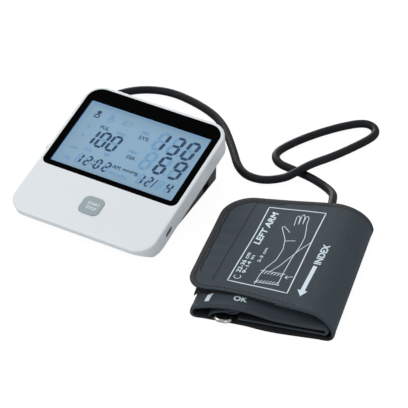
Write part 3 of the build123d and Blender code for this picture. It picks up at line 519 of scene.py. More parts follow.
def word(text, left, low, right, high, weight, rise):
    """Letters as a flat mesh that fills a box; weight and rise fatten them by shifted copies."""
    bpy.ops.object.select_all(action="DESELECT")
    bpy.ops.object.text_add()
    letters = bpy.context.object
    letters.data.body = text
    letters.data.size = 10
    letters.data.resolution_u = 4
    bpy.ops.object.convert(target="MESH")
    letters = bpy.context.object
    xs = [vertex.co.x for vertex in letters.data.vertices]
    ys = [vertex.co.y for vertex in letters.data.vertices]
    for vertex in letters.data.vertices:
        across = (vertex.co.x - min(xs)) / (max(xs) - min(xs))
        upward = (vertex.co.y - min(ys)) / (max(ys) - min(ys))
        vertex.co = (
            left + across * (right - left - weight), low + upward * (high - low - rise), 0
        )
    copies = [letters]
    for index, step in enumerate(((weight, 0), (0, rise), (weight, rise)), start=1):
        copies.append(copied(letters, Matrix.Translation((*step, LETTER_STEP * index))))
    return joined(text, copies)


def ribbon(points, width, close=False):
    """A flat band along a line of points, in millimetres on its own plane."""
    count = len(points)
    left, right = [], []
    for index, point in enumerate(points):
        before = points[index - 1] if index or close else point
        after = points[(index + 1) % count] if index + 1 < count or close else point
        run = Vector((after[0] - before[0], after[1] - before[1]))
        run.normalize()
        side = Vector((-run.y, run.x)) * width / 2
        left.append((point[0] + side.x, point[1] + side.y))
        right.append((point[0] - side.x, point[1] - side.y))
    if close:
        left.append(left[0])
        right.append(right[0])
    last = len(left) - 1

    def place(column, row):
        near, far = left[column], right[column]
        return (near[0] + (far[0] - near[0]) * row, near[1] + (far[1] - near[1]) * row, 0)

    return grid_sheet(last, 1, place)


def arc_points(centre, radius, start, end, count, squash=1.0):
    """Points round an arc, with its angles in degrees."""
    points = []
    for index in range(count + 1):
        angle = math.radians(start + (end - start) * index / count)
        points.append((
            centre[0] + radius * math.cos(angle),
            centre[1] + radius * squash * math.sin(angle),
        ))
    return points


def line_points(start, end, count=12):
    """Points along a straight line."""
    return [
        (start[0] + (end[0] - start[0]) * i / count, start[1] + (end[1] - start[1]) * i / count)
        for i in range(count + 1)
    ]


def smooth_value(knots, at):
    """A smooth line through (place, value) knots in rising order."""
    if at <= knots[0][0]:
        return knots[0][1]
    for index in range(len(knots) - 1):
        (x0, y0), (x1, y1) = knots[index], knots[index + 1]
        if at <= x1:
            before = knots[max(index - 1, 0)]
            after = knots[min(index + 2, len(knots) - 1)]
            span = x1 - x0
            rise0 = (y1 - before[1]) / (x1 - before[0]) * span
            rise1 = (after[1] - y0) / (after[0] - x0) * span
            t = (at - x0) / span
            return (
                (2 * t ** 3 - 3 * t ** 2 + 1) * y0 + (t ** 3 - 2 * t ** 2 + t) * rise0
                + (3 * t ** 2 - 2 * t ** 3) * y1 + (t ** 3 - t ** 2) * rise1
            )
    return knots[-1][1]


# Display: seven bars to a digit, lit or as a pale ghost; x and y are from the glass's middle
MARK_WALL = 0.04
MARK_DROP = 1.53
DISPLAY_SLANT = math.tan(math.radians(7.2))
SLANT_START = 0.04
DIGIT_STRETCH = 0.02
TALL_DIGIT = 16.0
TALL_BAR = 0.13
SMALL_BAR = 0.155
DISC_SIDES = 16
SEGMENTS = {
    "0": "abcdef", "1": "bc", "2": "abged", "3": "abgcd", "4": "fgbc",
    "5": "afgcd", "6": "afgedc", "7": "abc", "8": "abcdefg", "9": "abcdfg",
}


def bar(start, end, width):
    """One bar of a digit: a long hexagon with bevelled ends."""
    run = Vector((end[0] - start[0], end[1] - start[1]))
    run.normalize()
    side = Vector((-run.y, run.x)) * width / 2
    step = run * width / 2
    corners = [
        (start[0], start[1]),
        (start[0] + step.x + side.x, start[1] + step.y + side.y),
        (end[0] - step.x + side.x, end[1] - step.y + side.y),
        (end[0], end[1]),
        (end[0] - step.x - side.x, end[1] - step.y - side.y),
        (start[0] + step.x - side.x, start[1] + step.y - side.y),
    ]
    return outline_shape(corners)


def digit(value, left, low, right, high, lit, pale):
    """A seven bar digit in a box; its unlit bars go to the pale list, where there is one."""
    high += DIGIT_STRETCH * (high - low)
    tall = high - low
    wide = (TALL_BAR if tall > TALL_DIGIT else SMALL_BAR) * tall
    gap = 0.1 * wide
    x0, x1 = left + wide / 2, right - wide / 2
    y0, y1 = low + wide / 2, high - wide / 2
    middle = (y0 + y1) / 2
    ends = {
        "a": ((x0 + gap, y1), (x1 - gap, y1)),
        "b": ((x1, middle + gap), (x1, y1 - gap)),
        "c": ((x1, y0 + gap), (x1, middle - gap)),
        "d": ((x0 + gap, y0), (x1 - gap, y0)),
        "e": ((x0, y0 + gap), (x0, middle - gap)),
        "f": ((x0, middle + gap), (x0, y1 - gap)),
        "g": ((x0 + gap, middle), (x1 - gap, middle)),
    }
    for name, (start, end) in ends.items():
        if name not in SEGMENTS[value] and pale is None:
            continue
        shape = bar(start, end, wide)
        for vertex in shape.data.vertices:
            vertex.co.x += (vertex.co.y - low) * DISPLAY_SLANT - tall * SLANT_START
        (lit if name in SEGMENTS[value] else pale).append(shape)


def disc(x, y, radius):
    """A round mark on the display."""
    last = DISC_SIDES - 1
    return outline_shape(arc_points((x, y), radius, 0, 360 * last / DISC_SIDES, last))


def box_shape(left, low, right, high):
    """A four-sided mark on the display."""
    return outline_shape([(left, low), (right, low), (right, high), (left, high)])


def heart(x, y, size):
    """A heart mark on the display."""
    points = []
    for index in range(28):
        angle = 2 * math.pi * index / 28
        across = 16 * math.sin(angle) ** 3
        upward = (
            13 * math.cos(angle) - 5 * math.cos(2 * angle)
            - 2 * math.cos(3 * angle) - math.cos(4 * angle)
        )
        points.append((x + across * size / 32, y + upward * size / 32))
    return outline_shape(points)


def person(x):
    """A head over shoulders, the mark of one user's memory."""
    shoulders = [(x - 2.5, 24.4), (x + 2.1, 24.4), (x + 2.5, 26.9)]
    shoulders += arc_points((x, 26.6), 2.4, 20, 160, 8, 0.75) + [(x - 2.3, 26.9)]
    return [disc(x + 0.3, 31.3, 2.3), ribbon(shoulders, 1.3, True)]


def lay_on_deck(obj, middle, drop, wall):
    """Puts flat marks on the deck's slope, at a depth below its face, with a little body."""
    for vertex in obj.data.vertices:
        place = Vector((vertex.co.x, middle + vertex.co.y, vertex.co.z - drop)) * MM
        vertex.co = deck_place @ place
    raised(obj, wall)


# The readings, row by row; one 1 has no ghost, and two digits show only as ghosts
lit, pale = [], []
for value, left, low, right, high in (
    ("1", 15.9, 8.5, 27.7, 33.4),
    ("3", 31.8, 8.5, 43.8, 33.4),
    ("0", 47.5, 8.5, 59.8, 33.4),
    ("6", 31.1, -18.2, 42.9, 6.3),
    ("9", 47.5, -18.2, 59.8, 6.3),
    ("0", -37.2, -10.6, -26.7, 10.9),
    ("0", -25.1, -10.6, -14.3, 10.9),
    ("1", -44.9, -35.9, -38.4, -22.5),
    ("2", -35.7, -35.9, -28.9, -22.5),
    ("0", -24.6, -35.9, -18.0, -22.5),
    ("2", -15.2, -35.9, -8.4, -22.5),
    ("1", 22.7, -35.9, 29.2, -22.5),
    ("2", 31.8, -35.9, 37.9, -22.5),
    ("4", 52.8, -35.9, 59.5, -22.5),
):
    digit(value, left, low, right, high, lit, pale)
digit("1", -49.2, -10.6, -39.1, 10.9, lit, None)
digit("8", 15.6, -18.2, 27.3, 6.3, pale, pale)
digit("8", 43.8, -34.6, 49.6, -22.5, pale, pale)

# Labels
for text, left, low, right, high in (
    ("SYS", -0.8, 15.7, 9.6, 20.4),
    ("DIA", 0.2, -11.2, 9.2, -6.7),
    ("PUL", -42.0, 12.8, -32.6, 17.2),
    ("mmHg", 4.6, -28.2, 21.4, -22.6),
    ("AM", -6.3, -27.6, 1.7, -22.9),
):
    lit.append(word(text, left, low, right, high, 0.12, 0.1))
for text, left, low, right, high in (
    ("kPa", 3.2, -35.9, 13.8, -31.9),
    ("PM", -6.3, -35.9, 1.1, -31.9),
    ("/min", -24.0, 12.8, -14.3, 16.8),
    ("MAX", -1.4, 23.3, 6.7, 27.1),
    ("MIN", -1.4, -3.7, 7.3, 0.3),
    ("No.", -42.4, -18.2, -33.1, -13.4),
    ("AVG", -57.4, -20.8, -49.6, -18.0),
):
    pale.append(word(text, left, low, right, high, 0.2, 0.1))

# Colon, date stroke, points and users
lit += [disc(-26.0, -27.0, 0.8), disc(-26.5, -31.3, 0.8)]
lit.append(bar((39.6, -35.4), (42.6, -23.0), 1.2))
lit += person(-52.4)
pale += person(-37.4)
pale += [disc(44.7, 10.5, 1.0), disc(44.7, -16.0, 1.0)]

# Hearts, the wider one between two arcs, arrows and the battery
pale += [heart(-18.9, -15.2, 6.2), heart(-53.0, -33.4, 4.6)]
for turn in (120, -60):
    pale.append(ribbon(arc_points((-53.6, -33.8), 3.6, turn, turn + 120, 10), 0.5))
pale.append(outline_shape([(-54.8, 9.4), (-51.4, 9.4), (-53.1, 14.9)]))
pale.append(outline_shape([(-54.8, -0.1), (-53.1, -5.4), (-51.4, -0.1)]))
pale.append(ribbon([(-24.2, 25.6), (-15.6, 25.6), (-15.6, 31.3), (-24.2, 31.3)], 0.6, True))
pale += [box_shape(-23.2, 26.6, -20.8, 30.3), box_shape(-15.2, 27.3, -14.5, 29.6)]

for name, marks, finish in (
    ("display_lit", lit, "display_dark"), ("display_ghosts", pale, "display_pale"),
):
    display_marks = joined(name, marks)
    lay_on_deck(display_marks, GLASS_Y, MARK_DROP, MARK_WALL)
    finished(display_marks, name, finish, "console")

# Button marks, a little proud of its face
button_marks = joined("button_marks", [
    word("START", -5.2, 0.6, 7.6, 4.0, 0.3, 0.2),
    word("STOP", -4.4, -5.0, 6.8, -1.4, 0.3, 0.2),
])
lay_on_deck(button_marks, BUTTON_Y, -BUTTON_PROUD - BUTTON_MARK_LIFT, BUTTON_MARK_WALL)
finished(button_marks, "button_marks", "button_mark", "button")

# Air hose; the points are those of the solid
HOSE_RADIUS = 4.1
hose_points = [
    (-89, 33, 8.4), (-89, 50, 8.4), (-93, 78, 4.5), (-91, 112, 4.1), (-72, 149, 4.1),
    (-38, 167, 4.1), (0, 163, 4.1), (36, 149, 4.1), (65.5, 115, 4.1), (89, 83, 4.1),
    (113, 80, 4.1), (134, 91.5, 7), (143, 100, 12.5), (150, 118, 12.5), (161, 150, 4.1),
    (177, 182, 4.1), (184.5, 202, 4.1), (178.5, 213.5, 4.1), (165.5, 215.5, 4.1),
    (147, 197.5, 4.1), (127.5, 171, 4.1), (112.5, 143, 4.1), (107.5, 125, 4.1),
    (117, 113, 4.1), (136, 111.5, 4.1), (160, 108, 4.1), (184, 96, 6.5),
]
hose_points += [tuple(cuff_point(98, v, 18.0) / MM) for v in (175, 150)]
bpy.ops.object.select_all(action="DESELECT")
bpy.ops.curve.primitive_nurbs_path_add()
hose = bpy.context.object
hose.data.splines.clear()
line = hose.data.splines.new("NURBS")
line.points.add(len(hose_points) - 1)
for point, place in zip(line.points, hose_points):
    point.co = (place[0] * MM, place[1] * MM, place[2] * MM, 1)
line.order_u = 3
line.use_endpoint_u = True
line.resolution_u = 10
hose.data.bevel_depth = HOSE_RADIUS * MM
hose.data.bevel_resolution = 6
hose.data.use_fill_caps = True
finished(hose, "hose", "hose_rubber", "air_line")
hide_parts("air_hose")

# Cuff: heights of its layers and folds, in millimetres; s is read at the near side
FLOOR_LAYER = 1.5
STRIP_LAYER = 6.2
UPPER_LAYER = 12.4
STRIP_END = 44.0
INNER_FOLD = 123.0
HINGE = 105.4
SEAM = 119.5
CROWN_TOP = 27.3
FLAP_LENGTH = 117.0
FAR_CORNER = 30.0
NEAR_CORNER = 21.0

# The upper layer climbs from its level stretch over two bends to a crest and sinks to the left
SLOPE_FOOT = 84.86
SLOPE_RADIUS = 87.5
SLOPE_TURN = 13.166
CREST = 45.0
CREST_TOP = 17.0
CREST_RADIUS = 130.0
CREST_TURN = 18.4
LEFT_FOLD = 5.4
LEFT_FOLD_RADIUS = 4.543
INNER_FOLD_RADIUS = (UPPER_LAYER - STRIP_LAYER) / 2

# The outer fold turns tightly off the table and then in a wide arc up to the crown
OUTER_FOLD = 126.0
OUTER_FOLD_RADIUS = 5.0
OUTER_FOLD_TURN = 15.0
CROWN_RADIUS = 26.317

# The flap's free end and its two long edges, as (s, v), and its height over s, as (s, z)
FREE_END_NEAR = (-11.6, 19.0)
FREE_END_FAR = (-7.4, 155.0)
near_line = [(-14.5, 16), (4, 16.8), (24, 17.4), (44, 14.6), (65, 9.6), (86, 5), (111, 0.9), (130, 0)]
far_line = [(-5, 155), (60, 155.5), (98, 157), (112, 156), (130, 154)]
flap_heights = [(-16, 16.8), (20, 18.7), (45, 21.4), (90, 26.4), (HINGE, CROWN_TOP), (120, 22.9)]


def straight(start, end, height, count):
    """Places (s, z) along a level layer, its ends included."""
    return [(start + (end - start) * index / count, height) for index in range(count + 1)]


def chained(parts):
    """One path from several, without the places that repeat."""
    path = []
    for part in parts:
        for place in part:
            if not path or math.dist(path[-1], place) > 0.15:
                path.append(place)
    return path


def walked(path):
    """The length walked at each point of a path."""
    lengths = [0.0]
    for before, after in zip(path, path[1:]):
        lengths.append(lengths[-1] + math.dist(before, after))
    return lengths


upper_path = chained([
    straight(INNER_FOLD, SLOPE_FOOT, UPPER_LAYER, 14),
    arc_points((SLOPE_FOOT, UPPER_LAYER + SLOPE_RADIUS), SLOPE_RADIUS, 270, 270 - SLOPE_TURN, 7),
    arc_points((CREST, CREST_TOP - SLOPE_RADIUS), SLOPE_RADIUS, 90 - SLOPE_TURN, 90, 7),
    arc_points((CREST, CREST_TOP - CREST_RADIUS), CREST_RADIUS, 90, 90 + CREST_TURN, 14),
])
upper_knots = list(reversed(upper_path))
left_fold_middle = (LEFT_FOLD, FLOOR_LAYER + LEFT_FOLD_RADIUS)
strip_path = chained([
    straight(STRIP_END, INNER_FOLD, STRIP_LAYER, 20),
    arc_points((INNER_FOLD, STRIP_LAYER + INNER_FOLD_RADIUS), INNER_FOLD_RADIUS, -90, 90, 12),
    upper_path,
    arc_points(left_fold_middle, LEFT_FOLD_RADIUS, 90 + CREST_TURN, 270, 16),
    straight(LEFT_FOLD, SEAM, FLOOR_LAYER, 28),
])
outer_fold_middle = (OUTER_FOLD, FLOOR_LAYER + OUTER_FOLD_RADIUS)
fold_path = chained([
    straight(SEAM, OUTER_FOLD, FLOOR_LAYER, 2),
    arc_points(outer_fold_middle, OUTER_FOLD_RADIUS, -90, OUTER_FOLD_TURN, 10),
    arc_points((HINGE, CROWN_TOP - CROWN_RADIUS), CROWN_RADIUS, OUTER_FOLD_TURN, 89.5, 22),
])


def share_of(at, start, end):
    """How far a place lies from start to end, held between 0 and 1."""
    return min(max((at - start) / (end - start), 0), 1)


def ripple(s, v):
    """How far the flap's cloth stands off its plain height."""
    free = share_of(HINGE - s, 0, 40)
    wave = 0.5 + 0.5 * math.sin(s / 13 + v / 21 + 0.6) * math.cos(v / 17 - s / 33)
    sag = math.sin(math.pi * share_of(v, 4, 154))
    pucker = math.exp(-((s - 6) / 7) ** 2) * (math.sin(v / 2.7) + 0.6 * math.sin(v / 5.9 + 1))
    hollow = math.exp(-((s + 3) / 3) ** 2) * (0.6 + 0.4 * math.sin(v / 14 + 2))
    return free * (0.25 + 0.75 * wave * (0.4 + 0.6 * sag) + 0.28 * sag * pucker - 0.7 * sag * hollow)


def flap_height(s, v):
    """Middle height of the flap's cloth over a place."""
    return smooth_value(flap_heights, s) + ripple(s, v)


def flap_point(u, v, lift):
    """A point this far above the middle of the flap's cloth."""
    return cuff_point(u, v, flap_height(u - SKEW * v, v) + lift)


def upper_height(s, v):
    """Middle height of the upper layer over a place."""
    height = smooth_value(upper_knots, s)
    return height + layer_lift(s, v, height)


def flap_left(v):
    """Where the flap's free end lies at a place across it; the end leans a little."""
    share = (v - FREE_END_NEAR[1]) / (FREE_END_FAR[1] - FREE_END_NEAR[1])
    return FREE_END_NEAR[0] + (FREE_END_FAR[0] - FREE_END_NEAR[0]) * share


def flap_along(away, v):
    """The place s that lies this far from the flap's free end."""
    return flap_left(v) + away * (HINGE - flap_left(v)) / FLAP_LENGTH


def corner_cut(away, radius):
    """How far a rounded corner draws an edge in, this far from the end."""
    if away >= radius:
        return 0.0
    return radius - math.sqrt(max(radius ** 2 - (radius - away) ** 2, 0))


def flap_edge(away, inset, far):
    """A place (s, v) on the flap's long edge, this far from its free end."""
    knots, radius, sign = (far_line, FAR_CORNER, -1) if far else (near_line, NEAR_CORNER, 1)
    v = 90.0
    for _ in range(3):
        s = flap_along(away, v)
        v = smooth_value(knots, s) + sign * (inset + corner_cut(away - inset, radius - inset))
    return s, v


def flap_place(away, row, inset):
    """A place (s, v) on the flap between its two long edges."""
    near_v = flap_edge(away, inset, False)[1]
    far_v = flap_edge(away, inset, True)[1]
    v = near_v + (far_v - near_v) * row
    return flap_along(away, v), v


def edge_wander(along, far):
    """A slow wander of a sewn edge, so that the layers don't lie ruled."""
    return 0.5 * math.sin(along / 23 + (2.1 if far else 0)) + 0.25 * math.sin(along / 9.5)


def layer_lift(s, v, z):
    """A small wave that the lower layers share, and the bulge of the upper one at its near side."""
    if z <= FLOOR_LAYER:
        return 0.0
    wave = 0.18 * (1 + math.sin(s / 15 + v / 26)) * share_of(z - FLOOR_LAYER, 0, 4)
    along = math.sin(math.pi * share_of(s, 55, 117))
    across = math.sin(math.pi * share_of(v, 2, 82))
    return wave + 5.0 * along * across * share_of(z, 8, 11)


# Strip of cloth that lies folded under the flap
strip_walk = walked(strip_path)


def strip_place(column, row):
    """A point of the strip's cloth."""
    s, z = strip_path[column]
    v = CLOTH_INSET + CLOTH_SPAN * row
    return folded_point(s, v, z + layer_lift(s, v, z))


cuff_strip = grid_sheet(len(strip_path) - 1, 30, strip_place, (strip_walk[-1] * MM, CLOTH_SPAN * MM))
lined(cuff_strip, CLOTH)
finished(cuff_strip, "cuff_strip", None, "air_line")
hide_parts("cuff_wrap")


def floor_reach(s, z):
    """How much further the lowest layer's near edge reaches towards the user."""
    if z > 5:
        return 0.0
    left = 1.6 * share_of(-s, -12, 2)
    right = 2.2 * math.sin(math.pi * share_of(s, 52, 118))
    return left + right + 1.4 * share_of(s, 0, OUTER_FOLD)


def strip_edge(far):
    """Bound edge of the strip, with a rounded outer side."""
    inner = CUFF_WIDTH - BINDING if far else BINDING

    def place(column, row):
        s, z = strip_path[column]
        outer = CUFF_WIDTH if far else -1.0 - floor_reach(s, z)
        v = inner + (outer - inner) * row + edge_wander(strip_walk[column], far)
        return folded_point(s, v, z + layer_lift(s, v, z))

    band = grid_sheet(len(strip_path) - 1, 3, place, (strip_walk[-1] * MM, BINDING * MM))
    if far:
        lined(band, BINDING_CLOTH, BINDING_BEVEL, "edge_tape")
    else:
        lined(band, BINDING_CLOTH, BINDING_BEVEL, turned=True)
    return band


def painted_shade_edge(s, v, z, normal, lining):
    """Faces of the lower layers' near edge that lie in the dark and get the black lining as painted
    shade; their rim stays lit.
    """
    if v > 3 or z > 8.3 or s < 6:
        return False
    return z < 4.3 or abs(normal.dot(cuff_across)) < 0.97


strip_binding = joined("strip_binding", [strip_edge(False), strip_edge(True)])
# Painted shade: the near edge's faces in the dark get the black lining
repainted(strip_binding, "cuff_lining", painted_shade_edge)
finished(strip_binding, "strip_binding", None, "air_line")
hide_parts("wrap_binding")

# Flap: its cloth runs on from the outer fold, with closer columns round its free corners
away_steps = [FLAP_LENGTH * 0.992 - 3.6 * index for index in range(25)]
away_steps += [FAR_CORNER * (1 - math.sin(math.radians(angle))) for angle in range(3, 91, 4)]


def flap_columns(inset):
    """Distances from the free end at which the flap's cloth has its columns."""
    steps = [step for step in away_steps if step > inset + 0.4]
    return steps + [inset]


def fold_edge(column, far):
    """Where the fold's edge lies across the cuff: it drifts to meet the flap's edge."""
    share = column / (len(fold_path) - 1)
    if far:
        return CUFF_WIDTH + 3.6 * share ** 3
    return -2.4 * max(1 - share / 0.5, 0) + 2.1 * share ** 3


def fold_point(column, v):
    """A point on the outer fold, which stands fuller towards the far side."""
    s, z = fold_path[column]
    share = column / (len(fold_path) - 1)
    fuller = (0.9 + 1.9 * v / CUFF_WIDTH) * math.sin(math.pi * share)
    return folded_point(s + fuller, v, z)


cloth_steps = flap_columns(CLOTH_INSET)
flap_walk = walked(fold_path)[-1] + FLAP_LENGTH


def flap_cloth_place(column, row):
    """A point of the flap's cloth, from the seam under the outer fold to the free end."""
    if column < len(fold_path):
        near_v = fold_edge(column, False) + CLOTH_INSET
        far_v = fold_edge(column, True) - CLOTH_INSET
        return fold_point(column, near_v + (far_v - near_v) * row)
    away = cloth_steps[column - len(fold_path)]
    s, v = flap_place(away, row, CLOTH_INSET)
    return folded_point(s, v, flap_height(s, v))


flap_column_count = len(fold_path) + len(cloth_steps) - 1
flap_cloth = grid_sheet(flap_column_count, 64, flap_cloth_place, (flap_walk * MM, CLOTH_SPAN * MM))
lined(flap_cloth, CLOTH)
finished(flap_cloth, "flap_cloth", None)
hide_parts("cuff_flap")

# Binding round the flap's three free sides and down the outer fold
rim_near = [flap_edge(step, 0, False) for step in flap_columns(0)]
rim_far = [flap_edge(step, 0, True) for step in reversed(flap_columns(0))]
rim_end = line_points(rim_near[-1], rim_far[0], 48)[1:-1]
rim_flat = [(s + SKEW * v, v) for s, v in rim_near + rim_end + rim_far]


def rim_inner(index, width):
    """The place (u, v) this far inside the flap's outline."""
    before = Vector(rim_flat[max(index - 1, 0)])
    after = Vector(rim_flat[min(index + 1, len(rim_flat) - 1)])
    run = (after - before).normalized()
    side = Vector((run.y, -run.x))
    return Vector(rim_flat[index]) + side * width


fold_count = len(fold_path)
rim_walk = walked(fold_path)[-1] * 2 + walked(rim_flat)[-1]


def rim_place(column, row):
    """A point of the binding; row 0 is its inner side."""
    width = BINDING * (1 - row)
    if column < fold_count:
        return fold_point(column, fold_edge(column, False) + width)
    column -= fold_count
    if column < len(rim_flat):
        u, v = rim_inner(column, width)
        return flap_point(u, v, 0)
    column = fold_count - 1 - (column - len(rim_flat))
    return fold_point(column, fold_edge(column, True) - width)


rim_columns = 2 * fold_count + len(rim_flat) - 1
flap_binding = grid_sheet(rim_columns, 3, rim_place, (rim_walk * MM, BINDING * MM))
lined(flap_binding, BINDING_CLOTH, BINDING_BEVEL, "edge_tape", True)


def in_cuff_cloth(s, v, z, normal, lining):
    """Outer faces of the binding's near side, which is in the cuff's own cloth."""
    return not lining and v < 30 and s > 0 and z > 5


def rim_painted_shade(s, v, z, normal, lining):
    """Faces of the near side that look down, under the fold and under the flap's edge, which get the
    black lining as painted shade.
    """
    facing = 0.35 if s < 77 else -0.2
    return (v < 3 and s > 90 and z < 5) or (v < 24 and 0 < s < 96 and z > 10 and normal.z < facing)


repainted(flap_binding, "cuff_cloth", in_cuff_cloth)
# Painted shade: the binding's downward faces under the fold and the flap's edge get the black lining
repainted(flap_binding, "cuff_lining", rim_painted_shade)
finished(flap_binding, "flap_edging", None)
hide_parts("flap_binding")

# A place just past the flap's hinge; the flap's cloth and binding get their placing baked into their
# meshes
hinge_place = folded_point(HINGE - 0.2, CUFF_WIDTH / 2, CROWN_TOP)
for piece in (flap_cloth, flap_binding):
    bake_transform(piece)

# Hook tape under the flap's free end; its drooping near edge shows below the flap as a black band,
# which is partly painted shade under the flap's edge, and from HOOK_ROUNDING on it follows the flap's
# rounded corner
HOOK_COLUMNS = 34
HOOK_START = -1.0
HOOK_FAR = 131.0
HOOK_ROUNDING = -11.4


def hook_place(column, row):
    """A point of the hook tape, under the flap's cloth; its rows are close at the near edge."""
    s = HOOK_START + column
    edge = smooth_value(near_line, s) + corner_cut(s - HOOK_ROUNDING, NEAR_CORNER) + 0.6
    frayed = 8.0 * max(0, 1 - column / 5) + 0.5 * (column % 2)
    v = edge + (HOOK_FAR - edge) * row ** 2 - frayed * (1 - row) ** 3
    # The droop hangs the near edge down as a dark sheet that stands in for part of the shade under
    # the flap
    droop = 3.2 * (1 - row) ** 4 * (1 - 0.8 * column / HOOK_COLUMNS)
    width = 14 + 20 * max(0, 1 - 4 * row)
    s = HOOK_START + column * width / HOOK_COLUMNS
    return folded_point(s, v, flap_height(s, v) - CLOTH / 2 - 0.35 - droop)


hook_tape = grid_sheet(HOOK_COLUMNS, 30, hook_place, (0.013, 0.11))
thickened(hook_tape, TAPE)
finished(hook_tape, "hook_tape", "hook_tape", "flap")
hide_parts("hook_patch")

# Loop of cloth that holds the ring; its two ends lie on the strip's end
LOOP_RADIUS = 2.35
RING_BAR = 38.0
loop_path = [(STRIP_END + 0.5, STRIP_LAYER - 0.9)]
loop_path += arc_points((RING_BAR, STRIP_LAYER), LOOP_RADIUS, 300, 60, 24)
loop_path += [(STRIP_END + 0.5, STRIP_LAYER + 0.9)]


def loop_place(column, row):
    """A point of the loop's cloth."""
    s, z = loop_path[column]
    v = BINDING + (CUFF_WIDTH - 2 * BINDING) * row
    return folded_point(s, v, z + layer_lift(s, v, z))


ring_keeper = grid_sheet(len(loop_path) - 1, 24, loop_place, (0.025, 0.141))
thickened(ring_keeper, TAPE)
finished(ring_keeper, "ring_keeper", "cuff_lining", "air_line")
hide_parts("ring_loop")

# Folded end of that loop, seen between the layers at the near side
fold_end_path = [
    (16.5, 3.2), (19.5, 6.6), (23, 9.2), (28.5, 11.0), (33, 13.0), (38, 14.3), (44.5, 14.3),
    (42.5, 12.4), (38, 11.2), (30, 11.6),
]


def fold_end_place(column, row):
    """A point of the loop's folded end."""
    s, z = fold_end_path[column]
    return folded_point(s, -0.6 + 9 * row, z)


keeper_fold = grid_sheet(len(fold_end_path) - 1, 2, fold_end_place, (0.04, 0.009))
thickened(keeper_fold, TAPE)
finished(keeper_fold, "keeper_fold", "cuff_cloth", "air_line")

# Air pouch between two layers
POUCH_COLUMNS = 24
POUCH_START = (64.0, 10.0)
POUCH_LENGTH = 50.0
POUCH_WIDTH = 133.0
POUCH_CORNER = 8.0
POUCH_HEIGHT = 10.55
POUCH_WALL = 0.9


def pouch_place(column, row):
    """A point of the flat air pouch, drawn in at its corners."""
    away = POUCH_LENGTH * min(column, POUCH_COLUMNS - column) / POUCH_COLUMNS
    cut = corner_cut(away, POUCH_CORNER)
    u = POUCH_START[0] + POUCH_LENGTH * column / POUCH_COLUMNS
    v = POUCH_START[1] + cut + (POUCH_WIDTH - 2 * cut) * row
    return cuff_point(u, v, POUCH_HEIGHT)


air_pouch = grid_sheet(POUCH_COLUMNS, 30, pouch_place)
thickened(air_pouch, POUCH_WALL)
finished(air_pouch, "air_pouch", "silicone", "air_line")
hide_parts("bladder")

# Print on the flap, in places (u, v)
PRINT_LIFT = 0.05
PRINT_WALL = 0.06
FRAME_LINE = 1.1
ARM_LINE = 0.65


def lay_on_flap(obj):
    """Puts flat marks, drawn with x along u and y along v, on the flap's cloth."""
    for vertex in obj.data.vertices:
        vertex.co = flap_point(vertex.co.x, vertex.co.y, CLOTH / 2 + PRINT_LIFT + vertex.co.z)
    raised(obj, PRINT_WALL)


def set_between(obj, start, end, top):
    """Sets letters drawn in a box 1 wide and 1 high on a baseline from start to end."""
    start, run, rise = Vector(start), Vector(end) - Vector(start), Vector(top) - Vector(start)
    for vertex in obj.data.vertices:
        place = start + run * vertex.co.x + rise * vertex.co.y
        vertex.co = (place.x, place.y, vertex.co.z)
    return obj


frame_corners = [
    (26.4, 32.5), (83.9, 22.1), (93.2, 111.9), (96.7, 140.3), (41.6, 142.1), (37.6, 104.3)
]
frame_line = []
for index, corner in enumerate(frame_corners):
    following = frame_corners[(index + 1) % len(frame_corners)]
    frame_line += line_points(corner, following)[:-1]
print_parts = [ribbon(frame_line, FRAME_LINE, True)]
for text, start, end, top, weight, rise in (
    ("LEFT ARM", (44.3, 86.0), (52.7, 133.5), (38.1, 88.3), 0.011, 0.07),
    ("22-36 cm", (35.4, 44.3), (39.6, 73.0), (31.2, 45.2), 0.009, 0.05),
    ("9-14 in", (40.2, 43.6), (44.0, 70.0), (36.8, 44.3), 0.009, 0.05),
    ("2-3 cm", (50.3, 61), (53.6, 82), (47.3, 61.6), 0.009, 0.05),
    ("INDEX", (105.9, 65.9), (109.9, 94.5), (99.3, 66.4), 0.018, 0.07),
):
    letters = word(text, 0, 0, 1, 1, weight, rise)
    print_parts.append(set_between(letters, start, end, top))
arrow = [
    (103.6, 62.9), (98.9, 28.0), (101.6, 27.3), (96.3, 20.1), (92.1, 28.9), (94.9, 28.5),
    (99.8, 63.7),
]
print_parts.append(outline_shape(arrow))

# The arm, its band and the marks beside it, each as a line of points
arm_lines = [
    arc_points((34.2, 38.6), 3.2, 130, 410, 14, 0.8125),
    [(62, 48.8), (69, 58), (76, 71), (83.5, 84), (88, 91), (91.4, 96)],
    [(84.5, 45), (77.5, 43), (80, 41.4)],
    [(77.5, 43), (79.3, 45.6)],
    [(72.9, 30.7), (75, 50), (78, 70), (82.6, 89.7), (84, 102), (83, 114), (82, 122), (82.5, 130)],
    [(51.7, 30.4), (54, 44), (58, 55), (64.2, 66), (67.5, 82), (66.5, 96), (62, 108), (60, 114),
     (61.5, 116), (65, 112), (68.5, 107)],
    [(70.5, 118), (70.5, 130), (72.3, 133), (74, 130.5), (74.2, 120)],
    [(74.2, 121), (75, 133), (76.7, 135.5), (78.2, 132.5), (78.2, 121)],
    [(78.2, 123), (79, 131.5), (81, 133.5), (82.5, 130)],
    [(66, 94), (76.5, 95.5)],
    [(50.6, 33.5), (74.6, 31.5)],
    [(53.6, 50), (77, 47)],
]
for stroke in range(7):
    for u, v, fall in ((54.5, 45.8, 0.35), (52.6, 33.8, 0.2)):
        foot = (u + 3 * stroke, v - fall * stroke)
        arm_lines.append([foot, (foot[0] + 2.1, foot[1] + 2.8)])
for points in arm_lines:
    dense = []
    for start, end in zip(points, points[1:]):
        dense += line_points(start, end, 4)[:-1]
    dense.append(points[-1])
    print_parts.append(ribbon(dense, ARM_LINE))
flap_print = joined("flap_print", print_parts)
lay_on_flap(flap_print)
finished(flap_print, "flap_print", "print_white", "flap")
